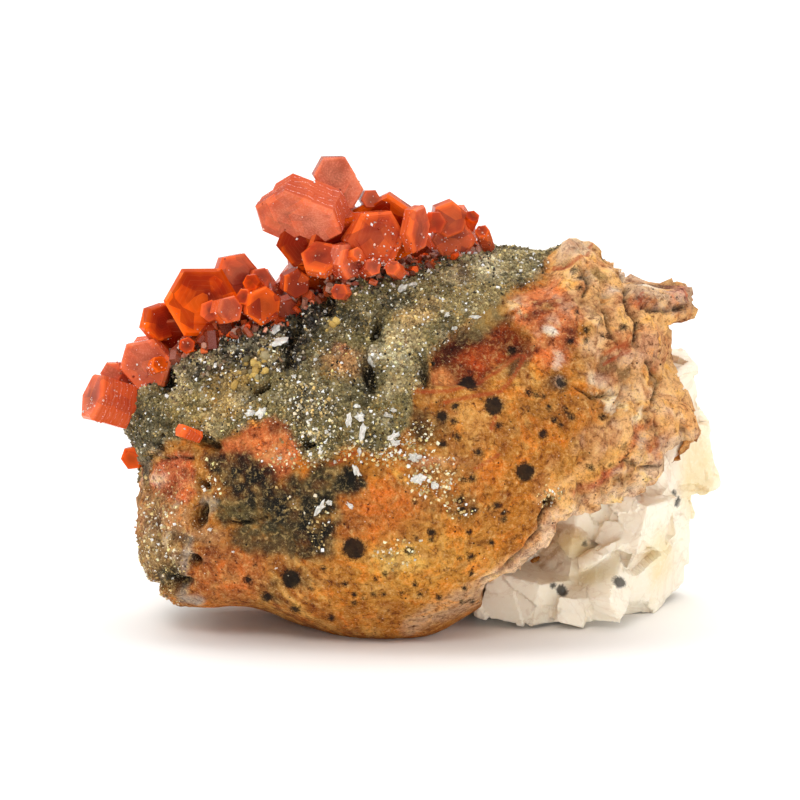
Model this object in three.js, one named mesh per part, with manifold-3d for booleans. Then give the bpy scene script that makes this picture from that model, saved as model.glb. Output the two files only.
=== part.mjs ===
// Vanadinite on matrix: a loose hand specimen about 50 mm long, resting on its own underside.
// Tabular hexagonal vanadinite crystals stand in clusters along the upper edge of an iron-stained
// rock, and white barite shows where the rock is broken at its lower right.
//
// Millimetres, +Z up, +X to the right and -Y towards the front. The tables below are laid out on a
// drawing frame whose floor is z = 0; the finished group is shifted so that the middle of its
// underside's box is the origin.
import * as THREE from "three";
import { mergeVertices } from "three/addons/utils/BufferGeometryUtils.js";
import Module from "manifold-3d";

const wasm = await Module();
wasm.setup();

// ---------------------------------------------------------------- driving dimensions
const GAP = 0.3; // clearance kept between neighbouring pieces
const BOX_CENTRE = new THREE.Vector3(0.148, 0.704, 0); // drawing-frame point that becomes the origin
const FLOOR = 0; // height of the surface that the specimen rests on
const MERGE_WITHIN = 1e-4; // corners closer than this are one corner

// The rock: an outline seen from the front, swollen forwards and backwards like a pillow.
const ROCK = {
  cells: 17, // grid cells along one side of each of the six patches
  middle: { x: 1, z: 13.4 },
  rimY: 1.5, // where the outline lies
  frontDepth: 12.5,
  backDepth: 12,
  fullness: 2.4, // 2 is an ellipse; more is flatter in front, with tighter edges
  lean: 0.18, // how far the rock leans back for each millimetre of height
  leanFrom: 14,
  detailStarts: 0.7, // share of the way out to the rim where the outline's own detail sets in
  detailEnds: 0.95,
  detailSpread: 0.45, // radians over which the outline is averaged in the middle of the faces
};

// Outline of the rock as [x, z], anticlockwise from the right-hand end.
const ROCK_OUTLINE = [
  [23.7, 14.2], [23.7, 16.9], [23.1, 18.5], [22.2, 20.6], [21.9, 22.4], [21.4, 24.0],
  [20.2, 25.4], [18.4, 26.6], [16.2, 27.8], [13.6, 28.7], [10.8, 29.2], [8.2, 29.4],
  [5.5, 29.2], [2.5, 28.2],
  [-1.5, 27.0], [-5.0, 25.8], [-8.0, 24.4], [-10.0, 23.2], [-13.3, 22.2], [-16.3, 21.2],
  [-19.2, 20.0], [-21.0, 18.4], [-21.7, 16.4], [-21.2, 14.3], [-20.6, 12.0], [-20.6, 10.0],
  [-20.5, 7.5], [-20.0, 5.0], [-19.2, 3.2], [-18.0, 2.0], [-16.5, 1.5], [-13.3, 1.2],
  [-10.9, 1.0], [-7.8, 0.2], [-5.4, -0.5], [-3.0, -0.9], [0.0, -0.9], [2.5, -0.6],
  [4.9, 0.6], [6.6, 1.7], [8.2, 3.0], [10.5, 4.8], [13.0, 6.6], [16.0, 7.8],
  [19.6, 9.0], [22.3, 11.6],
];

// Swellings and hollows of the rock: centre, reach and the push at the centre.
const ROCK_SWELLS = [
  { at: [5, -11, 10], reach: 9, push: [0, -1.2, 0] }, // the smooth lower face
  { at: [9.5, -8, 22.5], reach: 4.2, push: [0, 1.3, 0] }, // the rusty hollow below the crust
  { at: [-4, -9, 20], reach: 6, push: [0, -0.8, 0.4] }, // the crust's brow
  { at: [-17, -6, 8], reach: 5, push: [-0.3, -1.4, 0] }, // the knob at the left end
  { at: [14, -7, 27], reach: 3.5, push: [0, -1.6, 0.2] }, // the knob at the top right
  { at: [14.2, 2.5, 29], reach: 3.2, push: [0, -0.4, 1.3] }, // its top
  { at: [20.6, 2.5, 25.8], reach: 2.3, push: [3.7, 0, 0.2] }, // the nub that juts out below it
  { at: [-4, -2.5, 25.6], reach: 4, push: [0, -0.6, 2.4] }, // the bed of the crest
  { at: [-13, -2.5, 21.5], reach: 4.5, push: [0, -0.6, 1.5] }, // the bed of the shoulder
];

// ---------------------------------------------------------------- barite
// Tapered blades and blocks, grown together: centre, half sizes, turn (yaw, pitch, roll), how many
// sides they have and how much smaller the upper end is.
const BARITE_BLADES = [
  { at: [19.1, 4.6, 14.2], half: [6.5, 4.8, 5.2], turn: [24, 6, -8], sides: 6, taper: 0.8 },
  { at: [17.6, 9.0, 11.6], half: [6.2, 4.8, 5.8], turn: [-16, -8, 10], sides: 5, taper: 0.72 },
  { at: [16.5, 4.5, 6.2], half: [6.9, 7.2, 5.4], turn: [-12, 4, 8], sides: 6, taper: 0.9 },
  { at: [9.5, 8.0, 6.0], half: [8.8, 5.6, 5.6], turn: [10, -6, 4], sides: 5, taper: 0.8 },
  { at: [10.8, -0.6, 2.4], half: [4.9, 4.0, 1.8], turn: [14, 10, 6], sides: 5, taper: 0.84 },
  { at: [8.8, 0.4, 2.0], half: [2.7, 3.4, 1.7], turn: [-30, -6, 10], sides: 4, taper: 0.7 },
  { at: [15.8, -1.6, 2.9], half: [3.5, 3.8, 1.1], turn: [34, 14, -30], sides: 4, taper: 0.86 },
  { at: [16.6, -2.2, 6.1], half: [2.8, 2.8, 0.4], turn: [8, -18, -26], sides: 5, taper: 0.9 },
  { at: [18.8, -0.4, 8.2], half: [3.4, 3.6, 2.1], turn: [20, 10, 12], sides: 5, taper: 0.74 },
  { at: [20.2, 1.4, 3.9], half: [2.4, 4.0, 2.6], turn: [-10, 0, 24], sides: 5, taper: 0.8 },
  { at: [13.6, -2.6, 1.3], half: [2.2, 2.0, 1.1], turn: [52, 4, 12], sides: 4, taper: 0.8 },
];
const BARITE_SHEAR = 0.21; // barite cleaves at 78 degrees, not square

// ---------------------------------------------------------------- vanadinite
// One crystal: [x, y, z, radius, length, yaw, pitch, roll]. The point is the middle of its flat end
// and the crystal runs back from there; radius is to a corner of the hexagon. The flat end looks
// along yaw (0 to the front, 90 to the right) and pitch (up from level), and roll turns the hexagon.
// The last rows of a cluster are the crystals that root it in the rock.
const VANADINITE = {
  crest: [
    [-8.4, -3.2, 33.6, 2.3, 2.0, -20, -25, -24.5],
    [-6.5, -3.5, 32.8, 2.3, 2.0, -20, -25, -24.5],
    [-9.1, -2.7, 32.6, 2.3, 1.6, -20, -25, -24.5],
    [-4.9, -1.5, 35.9, 1.7, 1.8, 8, 4, 0],
    [-4.5, -1.5, 34.8, 1.85, 1.8, 8, 4, 0],
    [-7.3, -2.4, 30.8, 2.3, 2.4, -4, -4, 8],
    [-6.1, -4.2, 30.1, 1.55, 1.1, -10, 42, -10],
    [-3.4, -4.2, 29.7, 1.6, 1.4, 50, 4, 4],
    [-1.5, -3.6, 31.2, 2.5, 2.0, 26, 4, 0],
    [-1.1, -1.2, 31.5, 3.0, 2.2, -6, 2, 26],
    [1.8, -1.8, 31.7, 2.0, 0.95, 66, 0, 2],
    [-2.1, -1.0, 34.0, 0.8, 1.6, 10, 10, 0],
    [-1.9, -4.6, 29.3, 0.75, 1.6, 30, 20, 10],
    [-0.5, -4.4, 29.2, 0.65, 1.6, -24, 26, 0],
    [-3.1, -5.0, 30.4, 0.55, 1.4, 40, 20, 14],
    [-7.9, -3.0, 27.6, 1.15, 1.8, 14, 4, 24],
    [-4.6, -5.6, 27.5, 0.7, 2.4, -20, 16, 0],
    [-4.4, -2.8, 30.2, 2.9, 4.4, 6, -10, 14],
    [-3.6, -1.2, 27.8, 2.6, 4.6, -8, -18, 0],
    [-6.8, -1.6, 27.6, 1.8, 4.4, 4, -20, 10],
  ],
  brow: [
    [4.1, 0.2, 32.1, 1.5, 1.6, 10, 0, 20],
    [2.8, -0.2, 32.0, 0.95, 1.4, -18, 10, 5],
    [5.9, 0.4, 32.4, 0.6, 1.2, 28, 14, 5],
    [6.6, 0.0, 31.3, 0.6, 1.4, -20, 24, 12],
    [4.4, 0.8, 30.4, 1.8, 3.6, 0, -14, 0],
  ],
  shoulder: [
    [-15.3, -2.4, 26.1, 3.05, 1.8, 2, 12, 0],
    [-12.6, -1.0, 27.9, 1.8, 1.7, 16, 8, 8],
    [-10.7, -1.2, 27.7, 0.95, 1.6, 25, 14, 4],
    [-18.5, -1.4, 24.2, 1.6, 1.1, 36, 6, 10],
    [-10.4, -3.8, 26.0, 1.55, 1.5, 22, 6, 20],
    [-13.0, -4.0, 25.8, 1.15, 1.5, 34, 14, 6],
    [-12.1, -3.4, 26.7, 0.7, 1.4, -30, 20, 4],
    [-11.5, -2.8, 27.7, 0.75, 1.4, -20, 24, 8],
    [-14.7, -3.2, 25.5, 0.9, 1.2, -14, 18, 26],
    [-8.6, -2.2, 25.1, 1.2, 2.2, 10, 0, 16],
    [-16.5, -3.4, 22.8, 0.7, 1.6, 5, 10, 22],
    [-14.4, -1.0, 24.4, 2.7, 4.4, 0, -14, 10],
    [-11.0, -1.6, 25.0, 2.2, 4.2, 6, -16, 0],
    [-17.2, -1.0, 22.8, 1.9, 3.8, -6, -14, 4],
  ],
  slope: [
    [-19.9, -2.4, 21.0, 2.25, 1.4, -18, 2, 14],
    [-22.6, -0.8, 20.0, 0.95, 1.8, -12, 8, 0],
    [-18.6, -3.8, 21.4, 0.7, 1.6, 20, 20, 10],
    [-24.1, -2.8, 18.6, 2.05, 3.2, -68, 20, 8],
    [-20.3, -1.2, 19.8, 2.1, 4.0, -14, -14, 10],
  ],
  edge: [
    [-21.1, -0.6, 13.1, 1.0, 2.6, -20, 4, 10],
  ],
  niche: [
    [-17.0, -8.7, 17.2, 0.55, 2.0, -58, 24, 10],
  ],
  rear_crest: [
    [-4.6, 6.2, 28.6, 2.3, 3.2, 170, 34, 12],
    [-1.0, 6.4, 28.8, 1.9, 3.4, 196, 22, 0],
    [-7.4, 5.6, 27.0, 1.6, 3.2, 150, 30, 20],
    [1.9, 6.4, 29.4, 1.3, 3.2, 160, 40, 8],
    [-3.0, 7.6, 26.4, 1.5, 3.4, 186, 10, 24],
  ],
  rear_shoulder: [
    [-14.4, 5.4, 23.6, 2.2, 3.4, 176, 38, 6],
    [-11.6, 6.2, 23.8, 1.5, 3.4, 200, 26, 14],
    [-17.0, 4.8, 21.6, 1.6, 3.4, 150, 30, 0],
    [-13.4, 7.2, 21.6, 1.3, 3.2, 182, 16, 20],
  ],
  rear_slope: [
    [-19.4, 5.6, 16.8, 1.5, 3.0, 220, 20, 12],
    [-18.6, 7.2, 14.6, 1.1, 3.0, 200, 10, 0],
  ],
};

const SIDES = 6; // a hexagonal mineral
const BEVEL = 0.12; // share of the radius taken off by the pyramid faces round the flat end

// ---------------------------------------------------------------- materials
const finish = (color, roughness) => new THREE.MeshStandardMaterial({ color, roughness, metalness: 0 });
const ROCK_FINISH = finish(0xb87a33, 0.85);
const BARITE_FINISH = finish(0xe6dac0, 0.45);
const VANADINITE_FINISH = finish(0xc8330a, 0.18);

// ---------------------------------------------------------------- solids
// A closed manifold-3d solid of a geometry: only positions are kept, shared corners are merged and
// the faces that collapse on an axis are dropped.
function solidOf(geometry) {
  const bare = geometry.index ? geometry.toNonIndexed() : geometry.clone();
  const merged = mergeVertices(
    new THREE.BufferGeometry().setAttribute("position", bare.getAttribute("position")),
    MERGE_WITHIN,
  );
  const corners = [];
  for (let i = 0; i < merged.index.count; i += 3) {
    const [a, b, c] = [0, 1, 2].map((k) => merged.index.getX(i + k));
    if (a !== b && b !== c && c !== a) corners.push(a, b, c);
  }
  return new wasm.Manifold(
    new wasm.Mesh({
      numProp: 3,
      vertProperties: merged.attributes.position.array,
      triVerts: new Uint32Array(corners),
    }),
  );
}

// The largest body of a solid, without slivers that a cut has left loose.
function largestBody(solid) {
  return solid.decompose().reduce((best, body) => (body.volume() > best.volume() ? body : best));
}

// Several solids grown together.
function joined(solids) {
  return solids.reduce((whole, solid) => whole.add(solid));
}

// A named mesh of a solid.
function meshOf(name, solid, material) {
  const { vertProperties, numProp, numVert, triVerts } = solid.getMesh();
  const positions = new Float32Array(numVert * 3);
  for (let i = 0; i < numVert; i++) {
    positions.set(vertProperties.subarray(i * numProp, i * numProp + 3), i * 3);
  }
  const geometry = new THREE.BufferGeometry()
    .setAttribute("position", new THREE.BufferAttribute(positions, 3))
    .setIndex(new THREE.BufferAttribute(triVerts, 1));
  geometry.computeVertexNormals();
  const mesh = new THREE.Mesh(geometry, material);
  mesh.name = name;
  return mesh;
}

// ---------------------------------------------------------------- rock
// An angle brought into the range from -pi to pi.
function wrapped(angle) {
  return Math.atan2(Math.sin(angle), Math.cos(angle));
}

// Distance from the rock's middle to its outline at each angle, as a smooth closed curve.
const outlineRadius = (() => {
  const polar = ROCK_OUTLINE.map(([x, z]) => {
    const [dx, dz] = [x - ROCK.middle.x, z - ROCK.middle.z];
    return { angle: Math.atan2(dz, dx), radius: Math.hypot(dx, dz) };
  }).sort((a, b) => a.angle - b.angle);
  const at = (i) => {
    const turns = Math.floor(i / polar.length);
    const point = polar[i - turns * polar.length];
    return { angle: point.angle + turns * 2 * Math.PI, radius: point.radius };
  };
  return (angle) => {
    let i = polar.findIndex((p) => p.angle > angle);
    if (i < 0) i = polar.length;
    const [a, b, c, d] = [at(i - 2), at(i - 1), at(i), at(i + 1)];
    const t = (angle - b.angle) / (c.angle - b.angle);
    const slopeB = ((c.radius - a.radius) / (c.angle - a.angle)) * (c.angle - b.angle);
    const slopeC = ((d.radius - b.radius) / (d.angle - b.angle)) * (c.angle - b.angle);
    return (
      (2 * t ** 3 - 3 * t ** 2 + 1) * b.radius +
      (t ** 3 - 2 * t ** 2 + t) * slopeB +
      (3 * t ** 2 - 2 * t ** 3) * c.radius +
      (t ** 3 - t ** 2) * slopeC
    );
  };
})();

// The same distance with its detail smoothed away, for the middle of the faces.
function broadRadius(angle) {
  const shares = [-1, -0.5, 0, 0.5, 1];
  const sum = shares.reduce((total, share) => {
    return total + outlineRadius(wrapped(angle + share * ROCK.detailSpread));
  }, 0);
  return sum / shares.length;
}

// Place on the rock's surface for a direction from its middle.
function rockPoint(direction) {
  const out = Math.min(1, Math.hypot(direction.x, direction.z));
  const angle = Math.atan2(direction.z, direction.x);
  const detail = THREE.MathUtils.smoothstep(out, ROCK.detailStarts, ROCK.detailEnds);
  const radius = THREE.MathUtils.lerp(broadRadius(angle), outlineRadius(angle), detail);
  const depth = direction.y < 0 ? -ROCK.frontDepth : ROCK.backDepth;
  const point = new THREE.Vector3(
    ROCK.middle.x + radius * out * Math.cos(angle),
    ROCK.rimY + depth * Math.pow(1 - Math.pow(out, ROCK.fullness), 1 / ROCK.fullness),
    ROCK.middle.z + radius * out * Math.sin(angle),
  );
  point.y += ROCK.lean * (point.z - ROCK.leanFrom);
  const start = point.clone();
  for (const { at, reach, push } of ROCK_SWELLS) {
    const weight = Math.exp(-start.distanceToSquared(new THREE.Vector3(...at)) / reach ** 2);
    point.addScaledVector(new THREE.Vector3(...push), weight);
  }
  point.z = Math.max(point.z, FLOOR);
  return point;
}

// The whole rock: six square patches laid over a ball of directions.
function rockSolid() {
  const step = (k) => Math.tan((Math.PI / 4) * ((2 * k) / ROCK.cells - 1));
  const quarter = Math.PI / 2;
  const turns = [
    [0, 0, 0], [2 * quarter, 0, 0], [quarter, 0, 0], [-quarter, 0, 0], [0, quarter, 0], [0, -quarter, 0],
  ].map((angles) => new THREE.Quaternion().setFromEuler(new THREE.Euler(...angles)));
  const positions = [];
  for (const turn of turns) {
    const direction = (i, j) => new THREE.Vector3(step(i), step(j), 1).normalize().applyQuaternion(turn);
    const place = (i, j) => rockPoint(direction(i, j));
    for (let i = 0; i < ROCK.cells; i++) {
      for (let j = 0; j < ROCK.cells; j++) {
        const [a, b, c, d] = [place(i, j), place(i + 1, j), place(i + 1, j + 1), place(i, j + 1)];
        for (const p of [a, b, c, a, c, d]) positions.push(p.x, p.y, p.z);
      }
    }
  }
  const geometry = new THREE.BufferGeometry();
  geometry.setAttribute("position", new THREE.Float32BufferAttribute(positions, 3));
  return solidOf(geometry);
}

// ---------------------------------------------------------------- barite
// One sheared, tapered blade, grown outwards by `extra` and cut off at the floor.
function bariteBlade({ at, half, turn, sides, taper }, extra) {
  const [yaw, pitch, roll] = turn.map(THREE.MathUtils.degToRad);
  const blade = new THREE.CylinderGeometry(taper, 1, 2, sides);
  blade.rotateX(Math.PI / 2);
  blade.scale(...half.map((h) => h + extra));
  blade.applyMatrix4(new THREE.Matrix4().makeShear(0, 0, BARITE_SHEAR, 0, 0, 0));
  blade.applyMatrix4(new THREE.Matrix4().makeRotationFromEuler(new THREE.Euler(pitch, roll, yaw, "ZXY")));
  blade.translate(...at);
  const corners = blade.getAttribute("position");
  for (let i = 0; i < corners.count; i++) corners.setZ(i, Math.max(corners.getZ(i), FLOOR));
  return solidOf(blade);
}

function bariteSolid(extra = 0) {
  return joined(BARITE_BLADES.map((blade) => bariteBlade(blade, extra)));
}

// ---------------------------------------------------------------- vanadinite
// One six-sided crystal with narrow pyramid faces round its flat end, grown outwards by `extra`.
function crystalSolid([x, y, z, radius, length, yaw, pitch, roll], extra) {
  const [corner, front, back, bevel] = [radius + extra, extra, -length - extra, BEVEL * radius];
  const profile = [[0, back], [corner, back], [corner, front - bevel], [corner - bevel, front], [0, front]];
  const crystal = new THREE.LatheGeometry(profile.map(([r, h]) => new THREE.Vector2(r, h)), SIDES);
  const radians = THREE.MathUtils.degToRad;
  crystal.rotateY(radians(roll + 180 / SIDES));
  crystal.rotateX(Math.PI - radians(pitch));
  crystal.rotateZ(radians(yaw));
  crystal.translate(x, y, z);
  return solidOf(crystal);
}

function clusterSolid(crystals, extra = 0) {
  return joined(crystals.map((crystal) => crystalSolid(crystal, extra)));
}

// ---------------------------------------------------------------- assembly
const specimen = new THREE.Group();
specimen.add(meshOf("barite", largestBody(bariteSolid()), BARITE_FINISH));
let taken = bariteSolid(GAP); // the room that the pieces made so far need, clearance included
for (const [name, crystals] of Object.entries(VANADINITE)) {
  const cluster = largestBody(clusterSolid(crystals).subtract(taken));
  specimen.add(meshOf("vanadinite_" + name, cluster, VANADINITE_FINISH));
  taken = taken.add(clusterSolid(crystals, GAP));
}
specimen.add(meshOf("matrix_rock", largestBody(rockSolid().subtract(taken)), ROCK_FINISH));
specimen.position.copy(BOX_CENTRE).negate();

export default specimen;
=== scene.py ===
"""The looks of a vanadinite specimen: tabular orange-red crystals on an iron-stained, crusted rock.

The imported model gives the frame, the size and the place of every piece. Shapes are worked out on a
drawing frame in millimetres (+X right, -Y front, +Z up) and put into the model's own frame in metres
at the end. Markings on the front of the rock are placed on its face plane: u runs to the right and v
up a plane tilted back by 12 degrees, both in millimetres.
"""

import logging
import math
from dataclasses import dataclass, field
from enum import Enum
from typing import Any, Sequence, Union

import bmesh
import bpy
import numpy as np
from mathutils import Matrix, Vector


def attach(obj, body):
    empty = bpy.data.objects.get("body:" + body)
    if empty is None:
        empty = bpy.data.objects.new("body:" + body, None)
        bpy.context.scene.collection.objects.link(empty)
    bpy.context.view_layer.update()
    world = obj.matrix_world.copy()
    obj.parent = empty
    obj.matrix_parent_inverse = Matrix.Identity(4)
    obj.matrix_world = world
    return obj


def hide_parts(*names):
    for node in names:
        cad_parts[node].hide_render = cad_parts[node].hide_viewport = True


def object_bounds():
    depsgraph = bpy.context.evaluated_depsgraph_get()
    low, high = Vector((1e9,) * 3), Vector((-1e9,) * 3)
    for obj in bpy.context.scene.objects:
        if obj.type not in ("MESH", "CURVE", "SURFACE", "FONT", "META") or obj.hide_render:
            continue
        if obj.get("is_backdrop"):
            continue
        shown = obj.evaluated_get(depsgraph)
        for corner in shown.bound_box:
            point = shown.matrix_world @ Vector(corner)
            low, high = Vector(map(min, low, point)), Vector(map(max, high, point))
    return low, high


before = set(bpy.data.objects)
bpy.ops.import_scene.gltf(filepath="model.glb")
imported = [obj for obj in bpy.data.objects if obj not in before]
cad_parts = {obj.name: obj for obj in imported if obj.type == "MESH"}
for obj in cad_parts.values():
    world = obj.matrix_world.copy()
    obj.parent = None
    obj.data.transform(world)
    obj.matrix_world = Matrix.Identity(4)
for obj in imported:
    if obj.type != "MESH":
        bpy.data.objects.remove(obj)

LOG = logging.getLogger("vanadinite")

CAD_LOW, CAD_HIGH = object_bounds()
DRAWN_LENGTH = 50.064  # mm from end to end of the specimen as it is drawn
METRES = (CAD_HIGH.x - CAD_LOW.x) / DRAWN_LENGTH  # metres for a millimetre of the drawing
DRAWN_ORIGIN = np.array([0.148, 0.704, 0.0])  # drawing-frame point that is the model's origin, in mm
FLOOR = 0.0  # mm, height of the surface that the specimen rests on
FACE_TILT = math.tan(math.radians(12.0))  # how far the face plane leans back for each mm of height
LEAN = 0.18  # how far the rock leans back for each mm of height
LEAN_FROM = 14.0  # height at which the lean starts, mm
BARE_FOOT = 0.4  # mm above the floor up to which no grains grow
PIT_BARE = 0.93  # share of the grains that are missing in a pit
SINE, COSINE = math.sin(math.radians(60)), math.cos(math.radians(60))  # of a hexagon's side
ROOT = "root"  # the only body: nothing on the specimen moves


def to_model(points: np.ndarray) -> np.ndarray:
    """Carries N x 3 places in mm into the model's frame in metres: shift the origin, then scale."""
    return (points - DRAWN_ORIGIN) * METRES


def from_model(points: np.ndarray) -> np.ndarray:
    """Undoes `to_model`: N x 3 places in metres become places in mm."""
    return points / METRES + DRAWN_ORIGIN


def linear(colour: str) -> tuple[float, float, float, float]:
    """Linear-light colour from six hex digits, as they are meant on a screen.

    Args:
        colour: six hex digits.

    Returns:
        Red, green and blue from 0 to 1, and an alpha of 1.
    """
    channels = [int(colour[i:i + 2], 16) / 255 for i in (0, 2, 4)]
    light = [c / 12.92 if c <= 0.04045 else ((c + 0.055) / 1.055) ** 2.4 for c in channels]
    return (*light, 1.0)


def face_plane(points: np.ndarray) -> np.ndarray:
    """N x 2 places on the face plane, mm: u = x, v = z + y times the tilt."""
    return np.stack([points[:, 0], points[:, 2] + FACE_TILT * points[:, 1]], axis=1)


def painted(ground: np.ndarray, colour: str, share: np.ndarray) -> np.ndarray:
    """Lays a hex colour over N x 4 linear colours: ground times (1 - share), plus colour times share."""
    cover = share[:, None]
    return ground * (1 - cover) + np.array(linear(colour)) * cover


# ------------------------------------------------------------------------------------- number fields
def smoothstep(low: float, high: float, value: np.ndarray) -> np.ndarray:
    """Eases from 0 at `low` to 1 at `high`, either way round, by 3t^2 - 2t^3."""
    t = np.clip((value - low) / (high - low), 0.0, 1.0)
    return t * t * (3.0 - 2.0 * t)


def lattice(cubes: np.ndarray, seed: int) -> np.ndarray:
    """Even random numbers from 0 to 1, one for each whole-number cell, by mixing its integers.

    Args:
        cubes: N x 3 whole numbers.
        seed: picks one of many unrelated sets.

    Returns:
        N numbers.
    """
    whole = cubes.astype(np.int64)
    mixed = whole[:, 0] * 73856093 ^ whole[:, 1] * 19349663 ^ whole[:, 2] * 83492791 ^ seed * 2971215073
    mixed &= 0xFFFFFFFF
    for _ in range(2):
        mixed = ((mixed >> 16) ^ mixed) * 0x45D9F3B & 0xFFFFFFFF
    return (((mixed >> 16) ^ mixed) & 0xFFFFFF) / float(0x1000000)


def noise(points: np.ndarray, size: float, seed: int, octaves: int = 1) -> np.ndarray:
    """Value noise from about -1 to 1: lattice numbers blended along each axis by 3t^2 - 2t^3.

    Args:
        points: N x 3 places in mm.
        size: mm between the lattice points of the broadest octave.
        seed: picks one of many unrelated fields.
        octaves: how many layers are added, each half as large and half as strong.

    Returns:
        N numbers.
    """
    total = np.zeros(len(points))
    strength, reach = 1.0, 0.0
    for octave in range(octaves):
        scaled = points / (size / 2 ** octave)
        base = np.floor(scaled)
        t = scaled - base
        t = t * t * (3.0 - 2.0 * t)
        for corner in np.ndindex(2, 2, 2):
            weight = np.prod(np.where(np.array(corner, bool), t, 1.0 - t), axis=1)
            total += strength * weight * (2.0 * lattice(base + corner, seed + 17 * octave) - 1.0)
        reach += strength
        strength *= 0.5
    return total / reach ** 0.5


def cells(points: np.ndarray, size: float, seed: int) -> tuple[np.ndarray, np.ndarray, np.ndarray,
                                                               np.ndarray]:
    """Cellular noise: one point is thrown in each cube of a lattice, and the two nearest are found.

    Args:
        points: N x 3 places in mm.
        size: side of a cube in mm.
        seed: picks one of many unrelated fields.

    Returns:
        Distances to the nearest and second nearest thrown point, in cubes, the nearest one's number, and
        N x 3 ways from it, in cubes.
    """
    scaled = points / size
    base = np.floor(scaled)
    first = np.full(len(points), 9.0)
    second = first.copy()
    number = np.zeros(len(points))
    away = np.zeros((len(points), 3))
    for offset in np.ndindex(3, 3, 3):
        cube = base + np.array(offset) - 1
        thrown = cube + np.stack([lattice(cube, seed + k) for k in range(3)], axis=1)
        distance = np.linalg.norm(scaled - thrown, axis=1)
        nearer = distance < first
        second = np.where(nearer, first, np.minimum(second, distance))
        number = np.where(nearer, lattice(cube, seed + 7), number)
        away = np.where(nearer[:, None], scaled - thrown, away)
        first = np.where(nearer, distance, first)
    return first, second, number, away


def outline_distance(places: np.ndarray, outline: Sequence[tuple[float, float]]) -> np.ndarray:
    """Distance to a closed outline, negative inside, where a line outwards crosses it an odd number of times.

    Args:
        places: N x 2 places in mm.
        outline: corners in order.

    Returns:
        N distances in mm.
    """
    corners = np.array(outline, float)
    inside = np.zeros(len(places), bool)
    for start, end in zip(corners, np.roll(corners, -1, axis=0)):
        along = end - start
        crosses = (start[1] > places[:, 1]) != (end[1] > places[:, 1])
        rise = along[1] if along[1] else 1e-9
        inside ^= crosses & (places[:, 0] < start[0] + (places[:, 1] - start[1]) * along[0] / rise)
    nearest = path_distance(places, (*outline, outline[0]))
    return np.where(inside, -nearest, nearest)


def path_distance(places: np.ndarray, path: Sequence[tuple[float, float]]) -> np.ndarray:
    """Distance to an open path of straight runs.

    Args:
        places: N x 2 places in mm.
        path: points in order.

    Returns:
        N distances in mm.
    """
    nearest = np.full(len(places), np.inf)
    points = np.array(path, float)
    for start, end in zip(points[:-1], points[1:]):
        along = end - start
        share = np.clip(((places - start) @ along) / (along @ along), 0.0, 1.0)
        nearest = np.minimum(nearest, np.linalg.norm(places - start - share[:, None] * along, axis=1))
    return nearest


# -------------------------------------------------------------------------------------------- meshes
def placed(name: str, data: bpy.types.ID) -> bpy.types.Object:
    """Adds an object to the scene.

    Args:
        name: its name.
        data: its mesh, light or camera.

    Returns:
        The new object.
    """
    thing = bpy.data.objects.new(name, data)
    bpy.context.scene.collection.objects.link(thing)
    return thing


@dataclass
class Shell:
    """A mesh on the drawing frame, in mm, with the numbers that its finish reads.

    Attributes:
        points: V x 3 places.
        faces: F x 3 or F x 4 corner numbers, anticlockwise seen from outside.
        numbers: a number for each vertex, by attribute name.
        colours: a linear RGBA for each vertex, by attribute name.
    """

    points: np.ndarray
    faces: np.ndarray
    numbers: dict[str, np.ndarray] = field(default_factory=dict)
    colours: dict[str, np.ndarray] = field(default_factory=dict)

    def normals(self) -> np.ndarray:
        """Outward unit vector at each vertex: the sum of its faces' cross products, made unit length."""
        a, b, c = (self.points[self.faces[:, k]] for k in (0, 1, 2))
        across = np.cross(b - a, c - a)
        if self.faces.shape[1] == 4:
            across += np.cross(c - a, self.points[self.faces[:, 3]] - a)
        total = np.stack([
            sum(np.bincount(corner, across[:, axis], len(self.points)) for corner in self.faces.T)
            for axis in range(3)
        ], axis=1)
        return total / np.maximum(np.linalg.norm(total, axis=1, keepdims=True), 1e-12)

    def triangles(self) -> np.ndarray:
        """T x 3 corner numbers, each four-sided face being cut in two."""
        if self.faces.shape[1] == 3:
            return self.faces
        return np.concatenate([self.faces[:, [0, 1, 2]], self.faces[:, [0, 2, 3]]])

    def build(self, name: str, smooth: bool) -> bpy.types.Object:
        """Puts the shell into a new Blender mesh at the model's place and scale.

        Args:
            name: name of the piece.
            smooth: whether its faces are shaded smoothly.

        Returns:
            The new object, linked to the scene.
        """
        mesh = bpy.data.meshes.new(name)
        count, sides = self.faces.shape
        mesh.vertices.add(len(self.points))
        mesh.vertices.foreach_set("co", to_model(self.points).astype(np.float32).ravel())
        mesh.loops.add(count * sides)
        mesh.loops.foreach_set("vertex_index", self.faces.astype(np.int32).ravel())
        mesh.polygons.add(count)
        mesh.polygons.foreach_set("loop_start", np.arange(0, count * sides, sides, dtype=np.int32))
        mesh.polygons.foreach_set("use_smooth", np.full(count, smooth))
        for label, values in self.numbers.items():
            attribute = mesh.attributes.new(label, "FLOAT", "POINT")
            attribute.data.foreach_set("value", values.astype(np.float32).ravel())
        for label, values in self.colours.items():
            attribute = mesh.attributes.new(label, "FLOAT_COLOR", "POINT")
            attribute.data.foreach_set("color", values.astype(np.float32).ravel())
        mesh.update(calc_edges=True)
        mesh.validate()
        return placed(name, mesh)


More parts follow.
